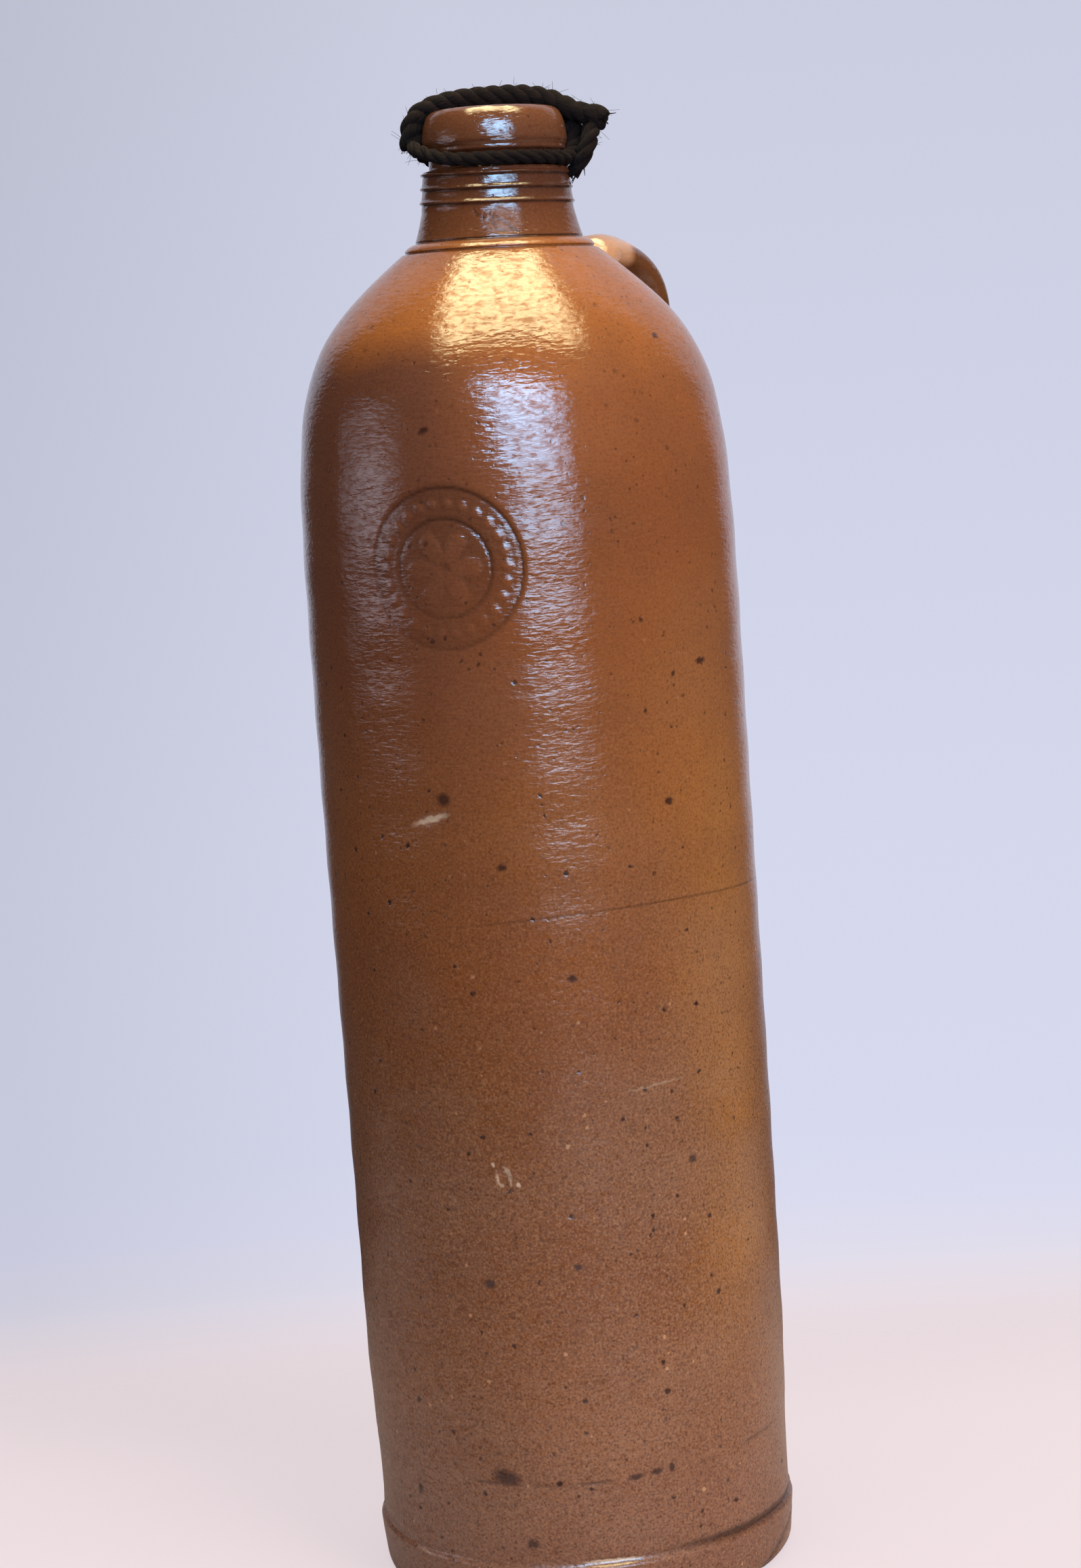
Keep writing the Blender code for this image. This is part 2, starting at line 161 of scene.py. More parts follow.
shoulder = sweep(SHOULDER_TOP, (42.3, 251.0), (BODY_RADIUS, 245.8), (BODY_RADIUS, SHOULDER_FOOT))
slope = np.gradient(shoulder, axis=0)
slope /= np.linalg.norm(slope, axis=1)[:, None]
inner_shoulder = shoulder + WALL * np.column_stack([slope[:, 1], -slope[:, 0]])
below_bore = (inner_shoulder[:, 0] > BORE_RADIUS) & (inner_shoulder[:, 1] < BORE_FOOT)
inside = np.vstack([
    line((2, FLOOR_HEIGHT), (INNER_RADIUS - INNER_CORNER, FLOOR_HEIGHT)),
    arc((INNER_RADIUS - INNER_CORNER, FLOOR_HEIGHT + INNER_CORNER), INNER_CORNER, -90, 0),
    line((INNER_RADIUS, FLOOR_HEIGHT + INNER_CORNER), (INNER_RADIUS, SHOULDER_FOOT)),
    inner_shoulder[below_bore][::-1],
])
inside_rows = stations(inside, np.interp(inside[:, 1], [9, 15, 20, 190, 200, 268], [5, 2, 24, 24, 5, 5]))
bore = line((BORE_RADIUS, BORE_FOOT), (BORE_RADIUS, MOUTH_HEIGHT - 1.2), 5)
rim = np.vstack([
    arc((10, MOUTH_HEIGHT - 1), 1, 180, 90),
    arc((LIP_RADIUS - 3.3, MOUTH_HEIGHT - 2.5), 2.5, 90, 30),
    sweep(
        (LIP_RADIUS - 1.13, MOUTH_HEIGHT - 1.25), (14.05, 294.55),
        (LIP_RADIUS, 292.3), (LIP_RADIUS, LIP_FOOT),
    ),
    sweep((LIP_RADIUS, LIP_FOOT), (14.45, 289.6), (14.1, 289.55), (13.97, 289.4)),
    arc((13.72, 288.95), 0.5, 60, -80),
    line((13.8, 288.45), (13.3, 288.1)),
    line((GROOVE_RADIUS, 288.0), (GROOVE_RADIUS, 285.5)),
    line((GROOVE_RADIUS, 285.5), NECK_TOP),
    line(NECK_TOP, NECK_FOOT, 200),
    sweep(NECK_FOOT, (15.65, 275.2), (16.15, 273.2), (16.7, 271.75), 100),
    line((16.6, 271.5), (16.6, 271.4), 3),
    sweep((16.9, 271.3), (17.9, 271.0), (18.6, 270.55), (18.93, 269.95), 60),
    arc((18.65, 269.85), 0.3, 30, -80),
])
rim_heights = [269, 272, 273, 277, 278, 285, 286, 297]
rim_steps = [0.16, 0.16, 0.6, 0.6, 0.15, 0.15, 0.4, 0.4]
rim_rows = stations(rim, np.interp(rim[:, 1], rim_heights, rim_steps))
wall = np.vstack([
    line((18.8, 269.35), SHOULDER_TOP),
    shoulder,
    line((BODY_RADIUS, SHOULDER_FOOT), (BODY_RADIUS, WAIST_TOP), 2000),
    sweep((BODY_RADIUS, WAIST_TOP), (BODY_RADIUS, WAIST_BEND), (FOOT_RADIUS, WAIST_BEND), FOOT_TOP),
    line(FOOT_TOP, FOOT_LEDGE),
    line(FOOT_LEDGE, (FOOT_RADIUS, FOOT_ROUNDING), 200),
    arc((FOOT_RADIUS - FOOT_ROUNDING, FOOT_ROUNDING), FOOT_ROUNDING, 0, -90),
])
wall_heights = [0, 14, 16, 27.6, 28, 30.5, 31, 40, 86, 88, 95, 97, 139, 139.5, 143, 143.5,
                158, 160, 165, 167, 188, 192, 228, 232, 262, 269]
wall_steps = [0.5, 0.5, 1.6, 1.6, 0.22, 0.22, 1.6, 3.5, 3.5, 0.6, 0.6, 3.5, 3.5, 0.22, 0.22, 3.5,
              3.5, 0.5, 0.5, 3.5, 3.5, 0.5, 0.5, 2.2, 2.2, 0.5]
wall_rows = stations(wall, np.interp(wall[:, 1], wall_heights, wall_steps))
base_rows = line((39, 0), (3, 0), 6)
profile = np.vstack([inside_rows, bore, rim_rows, wall_rows, base_rows])
outside = np.arange(len(profile)) >= len(inside_rows) + len(bore)
outside &= np.arange(len(profile)) < len(profile) - len(base_rows)

# Columns at angles in degrees from the front, closest together where the roundel and the knocks are.
face_angle = np.concatenate([np.arange(-46, 12, 0.6), np.arange(12, 110, 1.9), np.arange(110, 312.5, 2.7)])

radius = profile[:, :1]
height = profile[:, 1:]
outer = outside[:, None]
angle = face_angle[None, :]
turn = np.radians(angle)
left = np.maximum(0, -np.sin(turn))
face_turn = np.radians((angle + 180) % 360 - 180)
across = face_turn * BODY_RADIUS

# Ribs of the neck: flat bands that end in a thin flicked-out edge with an undercut, a little deeper on the
# left and lying a little higher there.
RIB_FOOT = 278.45
RIB_STEP = 2.75
RIB_EDGE = 0.86
rib_phase = ((height - RIB_FOOT - 0.7 * left**2) / RIB_STEP) % 1
rib_band = 0.35 * (1 - rib_phase / RIB_EDGE) + 0.65 * dent(rib_phase, 0.14)
rib = np.where(rib_phase < RIB_EDGE, rib_band, (rib_phase - RIB_EDGE) / (1 - RIB_EDGE))
rib_zone = fade(height, 277.4, 278.2) * fade(height, 285.3, 284.7)
relief = rib_zone * rib * (0.47 - 0.07 * np.sin(turn))
# Dark glaze pools under each undercut, together with a painted shade there.
pooled_glaze_and_shade = 0.9 * rib_zone * dent(rib_phase - 0.88, 0.1)

# A tool line round the lip, and the wrinkles where the glaze crawled on the front of the neck, each with
# its two ends and its depth in millimetres. Both are darkened with glaze pooling in them and a painted
# shade.
CRAWL_TOP = 279
NECK_RADIUS = 15.5
lip_line = dent(height - LIP_FOOT - 0.2 - 0.1 * np.sin(3 * turn), 0.22)
relief -= 0.14 * lip_line
pooled_glaze_and_shade += 0.5 * lip_line
neck_across = face_turn * NECK_RADIUS
for start, end, depth in (((-5.0, 277.4), (0.0, 272.8), 0.09), ((-2.0, 276.6), (3.2, 272.4), 0.07),
                          ((-0.6, 273.2), (4.2, 272.2), 0.07)):
    reach = np.array(end) - np.array(start)
    along = ((neck_across - start[0]) * reach[0] + (height - start[1]) * reach[1]) / (reach @ reach)
    bend = 0.35 * np.sin(7 * along)
    off = (neck_across - start[0]) * reach[1] - (height - start[1]) * reach[0]
    crawl = dent(off / np.hypot(*reach) - bend, 0.24) * fade(along, -0.05, 0.1) * fade(along, 1.05, 0.85)
    relief -= depth * crawl * (height < CRAWL_TOP)
    pooled_glaze_and_shade += 0.6 * crawl * (height < CRAWL_TOP)
crawled = fade(np.hypot((neck_across - 1.0) / 4.6, (height - 274.6) / 3.6), 1.0, 0.5) * (height < CRAWL_TOP)

# The creases above and below the ring on the shoulder hold dark glaze, with a painted shade in them.
ring_crease = dent(height - 271.52, 0.2) + dent(radius - 19.15, 0.5) * (height < 269.75) * (height > 268)
pooled_glaze_and_shade += 0.9 * ring_crease

# The roundel pressed into the clay with a die: a sunk disc in a ring, with beads and a rosette.
ROUNDEL_BEARING = -19.3
ROUNDEL_HEIGHT = 209.8
ROUNDEL_RADIUS = 15.3
BEAD_CIRCLE = 12.3
BEADS = 26
PETAL_REACH = 7.4
INNER_RING = 9.4
mark_across = across - math.radians(ROUNDEL_BEARING) * BODY_RADIUS
mark_up = height - ROUNDEL_HEIGHT
reach = np.hypot(mark_across, mark_up)
bearing = np.arctan2(mark_up, mark_across)
bead_step = 2 * math.pi / BEADS
bead_off = (bearing / bead_step - np.round(bearing / bead_step)) * bead_step * BEAD_CIRCLE
bead = fade(np.hypot(bead_off, reach - BEAD_CIRCLE), 1.15, 0.55)
petal = fade(reach - PETAL_REACH * np.sqrt(np.abs(np.cos(3 * bearing))), 0.5, -0.5) * fade(reach, 0.9, 1.5)
ring = dent(reach - ROUNDEL_RADIUS, 0.36) + 0.7 * dent(reach - INNER_RING, 0.34)
disc = fade(reach, ROUNDEL_RADIUS, ROUNDEL_RADIUS - 0.6)
strike = 0.72 + 0.28 * np.sin(bearing + 0.6)
die = -0.26 * ring + disc * (-0.14 + 0.2 * bead + 0.17 * petal)
outer_wall = outer & (height > 190) & (height < 230)
relief += outer_wall * strike * die
# Its sunk ring and the hollows round the beads and petals hold dark glaze, partly a painted shade.
pooled_glaze_and_shade += outer_wall * strike * (0.75 * ring + 0.28 * disc * (1 - bead) * (1 - petal))

# Knocks: a long flake, a burst blister and a bitten foot edge.
FLAKE_BEARING = -28.4
BLISTER_BEARING = -15.5
BLISTER_HEIGHT = 91.2
flake_across = across - math.radians(FLAKE_BEARING) * BODY_RADIUS
flake_up = height - 161.9
flake_along = flake_across * 0.97 + flake_up * 0.25
flake_off = flake_up * 0.97 - flake_across * 0.25
flake = fade(np.hypot(flake_along / 4.3, flake_off / 0.9), 1.1, 0.6)
blister = np.hypot(across - math.radians(BLISTER_BEARING) * BODY_RADIUS, (height - BLISTER_HEIGHT) / 1.2)
blister_rim = dent(blister - 2.0, 0.5)
foot_bite = fade(np.hypot((across - 4.5) / 6.8, (height - 12.2) / 0.8), 1.05, 0.5)
relief += outer * (0.15 * blister_rim - 0.3 * flake - 0.25 * dent(blister, 1.0) - 0.35 * foot_bite)

# Scored lines left by the tool while the pot turned: one at half height, a broken one above the foot.
SCORE_HEIGHT = 141.1
LOW_SCORE_HEIGHT = 29.5
score = dent(height - SCORE_HEIGHT - 1.5 * np.cos(2 * (turn - math.radians(25))), 0.2)
score_wear = 0.8 + 0.2 * np.sin(17 * turn + 1) * np.sin(7 * turn)
score_wear *= fade(angle, -46, 12) * fade(angle, 200, 110)
low_line = LOW_SCORE_HEIGHT - 0.9 * np.cos(turn + math.radians(25)) + 0.12 * np.sin(9 * turn)
low_score = dent(height - low_line, 0.36)
low_wear = 0.25 + 0.9 * np.sin(4 * turn + 0.9) * np.sin(9 * turn + 2) + 0.3 * np.sin(23 * turn)
low_wear = np.clip(low_wear, 0, 1)
relief -= outer * (0.02 * score * score_wear + 0.1 * low_score * low_wear)
# The scored lines are darkened with glaze pooling in them, partly a painted shade.
pooled_glaze_and_shade += outer * (0.62 * score * score_wear + 0.55 * low_score * low_wear)

# Hand-thrown wall: slow swells round and up the pot, clay pushed out of the foot here and there, the
# crease above the foot, a slanting cut on its right, and the sag of its upper edge towards the back.
swell = np.sin(2 * turn + 0.031 * height) + 0.7 * np.sin(3 * turn - 0.047 * height + 1.3)
body_zone = outer * fade(height, 14, 40) * fade(height, 268, 240)
relief += 0.09 * body_zone * (swell + 0.8 * np.sin(0.42 * height + 0.35 * turn))
foot_zone = outer * fade(height, 18, 12.5) * fade(height, 0, 3)
lump = np.sin(5 * turn + 0.4) * np.sin(2 * turn + 1.9) + 0.5 * np.sin(11 * turn)
relief += foot_zone * (0.18 * lump + 0.35 * dent((angle - 78 + 180) % 360 - 180, 16))
relief -= 0.5 * foot_zone * dent((angle - 2 + 180) % 360 - 180, 38)
crease_right = fade(angle, 10, 42) * fade(angle, 150, 100)
crease_wear = 0.2 + 0.8 * crease_right + 0.5 * dent(angle - 262, 25)
foot_crease = outer * dent(height - 12.3 - 0.2 * np.sin(4 * turn), 0.4 + 0.4 * crease_right)
relief -= 0.3 * foot_crease * crease_wear
# The crease holds dark glaze and a painted shade, strongest on the right.
pooled_glaze_and_shade += 0.85 * foot_crease * crease_wear
edge_rise = 2 + 0.3 * (angle - 60)
foot_edge = outer * dent(height - edge_rise, 0.6) * fade(angle, 44, 56) * fade(angle, 104, 88)
relief -= 0.35 * foot_edge
# The slanting cut holds dark glaze and a painted shade.
pooled_glaze_and_shade += 0.85 * foot_edge
foot_sag = -1.2 * (1 - np.cos(turn)) * fade(height, 3, 9) * fade(height, 24, 15) * outer

tangent = np.gradient(profile, axis=0)
tangent /= np.linalg.norm(tangent, axis=1)[:, None]
out = radius - relief * tangent[:, 1:]
up = height + relief * tangent[:, :1] + foot_sag
bearing = turn + FACE_TURN - math.pi / 2
body_grid = leaned(np.stack([out * np.cos(bearing), out * np.sin(bearing), up + 0 * turn], axis=-1))
body = skin("stoneware_body", body_grid, (0, 0, FLOOR_HEIGHT), (0, 0, 0))
# The dark creases: glaze pooling there, with a painted shade.
mark(body, "pooled_glaze_and_shade", np.clip(pooled_glaze_and_shade, 0, 1) * outer)
mark(body, "crawled", crawled * outer)
mark(body, "ash_and_lit_top", np.zeros(out.shape))


def colour(code):
    """A written sRGB colour as linear light: each channel over 12.92 where dark, else the 2.4 power."""
    part = np.array([int(code[k:k + 2], 16) for k in (1, 3, 5)]) / 255
    linear = np.where(part <= 0.04045, part / 12.92, ((part + 0.055) / 1.055) ** 2.4)
    return (*linear.tolist(), 1)


def add(tree, kind, inputs=(), give=0, stops=(), **settings):
    """Adds a shader node and gives one of its outputs, or all of them where give is None. Settings are the
    node's own choices, inputs are its sockets in order or by name, each with a value or another node's
    output, and stops are the places and colours of a ramp. The inputs of MapRange in order are the value,
    where it starts and ends, and what it gives there, 0 and 1 if nothing is said."""
    node = tree.nodes.new("ShaderNode" + kind)
    for name, value in settings.items():
        setattr(node, name, value)
    for socket, value in inputs.items() if isinstance(inputs, dict) else enumerate(inputs):
        if isinstance(value, bpy.types.NodeSocket):
            tree.links.new(value, node.inputs[socket])
        else:
            node.inputs[socket].default_value = value
    for stop in stops[2:]:
        node.color_ramp.elements.new(stop[0])
    for k, (place, code) in enumerate(stops):
        node.color_ramp.elements[k].position = place
        node.color_ramp.elements[k].color = colour(code)
    return node.outputs if give is None else node.outputs[give]


def fresh(owner):
    """The node tree of a material or of the world, emptied."""
    owner.use_nodes = True
    owner.node_tree.nodes.clear()
    return owner.node_tree


# Salt glaze on stoneware: a thin glassy skin that follows the clay. It gives the eye a wet shine broken
# by fine turning ripples and orange peel, dark iron specks, and warm browns that drift with the flame.
glaze = bpy.data.materials.new("salt_glazed_stoneware")
tree = fresh(glaze)
place = add(tree, "TexCoord", give="Object")
faced = add(tree, "VectorRotate", {"Vector": place, "Angle": -FACE_TURN}, rotation_type="Z_AXIS")
side = add(tree, "SeparateXYZ", [faced], give=None)
frontal = add(tree, "Math", [side["Y"], -1], operation="MULTIPLY")
bearing = add(tree, "Math", [side["X"], frontal], operation="ARCTAN2")

# Colour by height in metres, with the edges of the zones drifting by some millimetres: mauve-brown foot,
# brown wall, orange shoulder. Each layer that lies over it is a share of the surface and a colour.
DRIFT = 0.03
drift = add(tree, "TexNoise", {"Vector": place, "Scale": 1000 / 55, "Detail": 3})
drifted = add(tree, "Math", [drift, DRIFT, side["Z"]], operation="MULTIPLY_ADD")
level = add(tree, "Math", [drifted, DRIFT / 2], operation="SUBTRACT")
wall_share = add(tree, "MapRange", [level, 0, 0.27])
look = add(tree, "ValToRGB", [wall_share], stops=[
    (0.0, "#7d5646"), (0.067, "#8b6350"), (0.148, "#8e6145"), (0.259, "#7f5132"), (0.37, "#7e502e"),
    (0.481, "#86532f"), (0.593, "#8f5b34"), (0.704, "#8c5632"), (0.796, "#895230"), (0.87, "#955a33"),
    (0.926, "#b06c37"), (0.993, "#ba743b"),
])
layers = []

# A golden flash on the right of the wall and a painted shade on its upper left, where the lamps leave the
# wall darker, each the product of its soft edges, then darker clouds of about 22 mm all over and a grey
# bloom that is strongest low down.
FLASH_BEARING = 0.95
flash_side = add(tree, "Math", [bearing, FLASH_BEARING], operation="SUBTRACT")
flash_off = add(tree, "Math", [flash_side], operation="ABSOLUTE")
for code, share, edges in (
    ("#b37d41", drift, [(flash_off, 0.5, 0.05), (level, 0.04, 0.075), (level, 0.21, 0.13)]),
    # A painted shade on the upper left of the wall.
    ("#764a37", 1, [(bearing, 0.05, -0.4), (level, 0.15, 0.21), (level, 0.258, 0.248)]),
):
    for edge in edges:
        step = add(tree, "MapRange", edge)
        share = add(tree, "Math", [share, step], operation="MULTIPLY")
    layers.append((share, colour(code)))
cloud = add(tree, "TexNoise", {"Vector": place, "Scale": 1000 / 22, "Detail": 4, "Roughness": 0.6})
cloud_share = add(tree, "MapRange", [cloud, 0.42, 0.75, 0, 0.5])
gritty = add(tree, "MapRange", [level, 0.2, 0.08, 0.15])
bloom = add(tree, "TexNoise", {
    "Vector": place, "Scale": 1000 / 38, "Detail": 2, "W": 3,
}, noise_dimensions="4D")
bloom_share = add(tree, "MapRange", [bloom, 0.45, 0.7, 0, 0.4])
bloom_low = add(tree, "Math", [bloom_share, gritty], operation="MULTIPLY")
layers += [(cloud_share, colour("#744a34")), (bloom_low, colour("#8f7364"))]

# Above the ring the neck and the lip are chocolate brown, with painted light: paler at the top of the lip,
# where the ceiling lamp falls, and paler on the left, which the lamps leave darker. The zones lean with the
# neck.
neck_rise = add(tree, "Math", [side["X"], math.sin(LEAN), side["Z"]], operation="MULTIPLY_ADD")
neck_share = add(tree, "MapRange", [neck_rise, 0.2708, 0.297])
neck_tone = add(tree, "ValToRGB", [neck_share], stops=[
    (0.0, "#784b2e"), (0.1, "#74472c"), (0.26, "#6b4029"), (0.36, "#583626"), (0.5, "#523124"),
    (0.66, "#5d3a2b"), (0.82, "#69422d"), (0.95, "#7d4f34"),
])
# A painted light: the neck and lip are paler on the left, where the lamps leave them darker.
neck_left = add(tree, "MapRange", [bearing, 0.2, -0.7, 0, 0.42])
neck_low = add(tree, "MapRange", [neck_rise, 0.38, 0.26])
neck_painted_light = add(tree, "Math", [neck_left, neck_low], operation="MULTIPLY")
neck_look = add(tree, "Mix", {0: neck_painted_light, 6: neck_tone, 7: colour("#8f5d3d")}, give=2, data_type="RGBA")
neck_part = add(tree, "MapRange", [neck_rise, 0.2709, 0.2714])
layers.append((neck_part, neck_look))

# Fine grain of the clay under the glaze: dark and pale grains of about 0.5 mm, most of them low on the wall.
grain = add(tree, "TexNoise", {"Vector": place, "Scale": 1000 / 0.5, "Detail": 1, "Roughness": 0.6})
grain_dark = add(tree, "MapRange", [grain, 0.5, 0.75, 0, 0.75])
dark_low = add(tree, "MapRange", [gritty, 0, 1, 0.32, 1])
dark_grain = add(tree, "Math", [grain_dark, dark_low], operation="MULTIPLY")
grain_pale = add(tree, "MapRange", [grain, 0.48, 0.24, 0, 0.6])
grain_low = add(tree, "Math", [grain_pale, gritty], operation="MULTIPLY")
layers += [(dark_grain, colour("#4e2e22")), (grain_low, colour("#a98062"))]

# Iron specks up to about 1.5 mm across, one in each 3 mm cell at most, sized by the cell's own number and
# fainter on the shoulder, pale grains in some of the other cells, and finer specks in cells of 1.6 mm.
# Each speck is the part of its cell where the distance from the middle is less than the size. A ruffle
# in millimetres makes the outlines of the specks and of the single marks ragged.
RUFFLE = 1.1
ruffle = add(tree, "TexNoise", {"Vector": place, "Scale": 1000 / 1.1, "Detail": 2}, give="Color")
ruffled = add(tree, "VectorMath", [ruffle, (RUFFLE * MM,) * 3, place], operation="MULTIPLY_ADD")
cells = add(tree, "TexVoronoi", {"Vector": ruffled, "Scale": 1000 / 3.0}, give=None)
fines = add(tree, "TexVoronoi", {"Vector": place, "Scale": 1000 / 1.6}, give=None)
specks = []
for net, channel, lot_start, lot_end, widest, soft, depth in (
    (cells, 0, 0.28, 1, 0.25, 0.12, 1),
    (cells, 0, 0.33, 0, 0.18, 0.06, 0.7),
    (fines, 1, 0.5, 1, 0.28, 0.14, 0.6),
):
    lot = add(tree, "SeparateColor", [net["Color"]], give=channel)
    speck_size = add(tree, "MapRange", [lot, lot_start, lot_end, 0, widest])
    speck_in = add(tree, "Math", [speck_size, net["Distance"]], operation="SUBTRACT")
    specks.append(add(tree, "MapRange", [speck_in, 0, soft, 0, depth]))
speck, pale_grain, fine = specks
speck_keep = add(tree, "MapRange", [level, 0.235, 0.17, 0.35])
speck_left = add(tree, "Math", [speck, speck_keep], operation="MULTIPLY")
iron = add(tree, "Math", [speck_left, fine], operation="MAXIMUM")
pale_low = add(tree, "Math", [pale_grain, gritty], operation="MULTIPLY")
layers += [(iron, colour("#3a2219")), (pale_low, colour("#c79c78"))]

# Single marks, each an oval at its bearing in degrees and height in millimetres, with its half length, half
# height and tilt: iron blots, then pale clay in the long flake and along a scratch, and a painted glint, a
# painted highlight on the bitten foot edge.
sheet_across = add(tree, "Math", [bearing, BODY_RADIUS], operation="MULTIPLY")
sheet_up = add(tree, "Math", [side["Z"], 1 / MM], operation="MULTIPLY")
sheet = add(tree, "CombineXYZ", [sheet_across, sheet_up])
ragged = add(tree, "VectorMath", [ruffle, (RUFFLE, RUFFLE, 0), sheet], operation="MULTIPLY_ADD")
blots = [
    (-24.1, 166.3, 1.6, 1.5, 0), (-21.2, 30.6, 3.4, 2.0, -12), (-22.9, 236.4, 1.3, 0.9, 20),
    (50.0, 188.3, 1.7, 0.8, 0), (35.5, 162.4, 1.2, 1.0, 0), (5.7, 130.5, 1.1, 1.0, 0),
    (35.7, 91.2, 1.1, 1.0, 0), (-21.4, 70.5, 1.4, 1.2, 0), (-15.4, 16.8, 1.6, 1.2, 0),
    (51.3, 251.0, 1.1, 0.7, 0), (-10.1, 152.8, 1.0, 0.9, 0), (2.0, 73.5, 1.1, 0.8, 0),
    (13.5, 29.6, 1.9, 0.7, 8), (19.0, 29.9, 1.6, 0.7, 8), (23.6, 30.2, 0.8, 1.2, 0),
    (-51.6, 24.5, 1.0, 1.3, 0), (-14.3, 89.4, 1.1, 0.4, 45),
]
# The oval at bearing 5.9 and height 12.7 is a painted highlight, a glint on the bitten foot edge.
flakes_and_glint = [
    (FLAKE_BEARING, 162.4, 4.4, 0.7, 14), (5.9, 12.7, 6.2, 0.4, 0), (-18.1, 94.6, 0.5, 0.5, 0),
    (-11.8, 90.4, 0.5, 0.5, 0),
]
scuffs = [(25.5, 107.5, 7.4, 0.3, 4), (-50.5, 11.4, 3.8, 0.35, -6)]
shares = []
for marks in (blots, flakes_and_glint, scuffs):
    share = 0
    for mark_bearing, mark_height, half_long, half_high, tilt in marks:
        oval = add(tree, "Mapping", {
            "Vector": ragged,
            "Location": (math.radians(mark_bearing) * BODY_RADIUS + RUFFLE / 2, mark_height, 0),
            "Rotation": (0, 0, math.radians(tilt)),
            "Scale": (half_long, half_high, 1),
        }, vector_type="TEXTURE")
        off = add(tree, "VectorMath", [oval], give="Value", operation="LENGTH")
        inside_mark = add(tree, "MapRange", [off, 1.1, 0.5])
        share = add(tree, "Math", [share, inside_mark], operation="MAXIMUM")
    shares.append(share)
blot = add(tree, "Math", [shares[0], 0.9], operation="MULTIPLY")

# The burst blister: a broken ring of pale clay.
burst = add(tree, "Mapping", {
    "Vector": ragged,
    "Location": (math.radians(BLISTER_BEARING) * BODY_RADIUS + RUFFLE / 2, 91.8, 0),
    "Scale": (1.75, 2.7, 1),
}, vector_type="TEXTURE")
burst_off = add(tree, "VectorMath", [burst], give="Value", operation="LENGTH")
burst_rim = add(tree, "Math", [burst_off, 0.75], operation="SUBTRACT")
burst_away = add(tree, "Math", [burst_rim], operation="ABSOLUTE")
burst_ring = add(tree, "MapRange", [burst_away, 0.32, 0.12, 0, 0.7])
burst_gap = add(tree, "TexNoise", {"Vector": place, "Scale": 1000 / 1.6, "Detail": 2})
burst_kept = add(tree, "MapRange", [burst_gap, 0.44, 0.55])
burst_pale = add(tree, "Math", [burst_ring, burst_kept], operation="MULTIPLY")
scuff = add(tree, "Math", [shares[2], 0.24], operation="MULTIPLY")
scuffed = add(tree, "Math", [scuff, burst_pale], operation="MAXIMUM")
knock_and_glint = add(tree, "Math", [shares[1], scuffed], operation="MAXIMUM")

# Dark glaze pooling in the creases, with a painted shade there and on the sides and underside of the handle;
# bare clay in the knocks, with a painted glint on the foot edge; pale ash with a painted light on the top of
# the handle. All layers then go over the zones in the order that they were named.
pool_and_shade = add(tree, "Attribute", give="Fac", attribute_name="pooled_glaze_and_shade")
ash_and_lit_top = add(tree, "Attribute", give="Fac", attribute_name="ash_and_lit_top")
layers += [
    (blot, colour("#3a221c")), (pool_and_shade, colour("#2b1812")),
    (knock_and_glint, colour("#cbb8a6")), (ash_and_lit_top, colour("#d8a985")),
]
for share, over in layers:
    look = add(tree, "Mix", {0: share, 6: look, 7: over}, give=2, data_type="RGBA")

# Heights in millimetres: turning ripples of about 2.6 by 0.7 mm on the upper wall, slower waves of 20 by
# 5 mm, orange peel of 1.2 mm that turns to grit on the lower wall, crawled glaze on the neck, and pits at
# the specks.
rippled = add(tree, "VectorMath", [place, (1, 1, 3.6)], operation="MULTIPLY")
ripple = add(tree, "TexNoise", {
    "Vector": rippled, "Scale": 1000 / 2.6, "Detail": 2, "Roughness": 0.5, "Distortion": 0.4,
})
ripple_size = add(tree, "MapRange", [level, 0.12, 0.2, 0.03, 0.11])
crawl_high = add(tree, "Attribute", give="Fac", attribute_name="crawled")
crawl_lines = add(tree, "TexNoise", {"Vector": faced, "Scale": 1000 / 2.2, "Detail": 3})
crawl_wave = add(tree, "Math", [crawl_lines, 0.5], operation="SUBTRACT")
crawl = add(tree, "Math", [crawl_high, crawl_wave], operation="MULTIPLY")
waved = add(tree, "VectorMath", [place, (1, 1, 4)], operation="MULTIPLY")
wave = add(tree, "TexNoise", {"Vector": waved, "Scale": 1000 / 20, "Detail": 1})
peel_high = add(tree, "MapRange", [gritty, 0, 1, 0.025, 0.1])
grit = add(tree, "TexNoise", {"Vector": place, "Scale": 1000 / 1.2, "Detail": 2, "Roughness": 0.6})
rise = add(tree, "Math", [grit, peel_high], operation="MULTIPLY")
for form, size in ((ripple, ripple_size), (wave, 0.12), (crawl, 0.3), (iron, -0.05)):
    rise = add(tree, "Math", [form, size, rise], operation="MULTIPLY_ADD")
relief_look = add(tree, "Bump", {"Height": rise, "Strength": 1, "Distance": MM})

# The shine: duller low down and where the glaze crawled, with glassy streaks of about 2 by 0.9 mm.
dull = add(tree, "MapRange", [gritty, 0, 1, 0.06, 0.22])
dulled = add(tree, "Math", [cloud, 0.09, dull], operation="MULTIPLY_ADD")
crawl_dull = add(tree, "Math", [crawl_high, 0.25, dulled], operation="MULTIPLY_ADD")
streaked = add(tree, "VectorMath", [place, (1, 1, 2.2)], operation="MULTIPLY")
streak = add(tree, "TexNoise", {
    "Vector": streaked, "Scale": 1000 / 2.0, "Detail": 2, "Roughness": 0.6, "Distortion": 0.6,
})
glassy = add(tree, "MapRange", [streak, 0.34, 0.56, 0.18, 0.62])
crawl_thin = add(tree, "MapRange", [crawl_high, 0, 1, 1, 0.55])
glass = add(tree, "Math", [glassy, crawl_thin], operation="MULTIPLY")
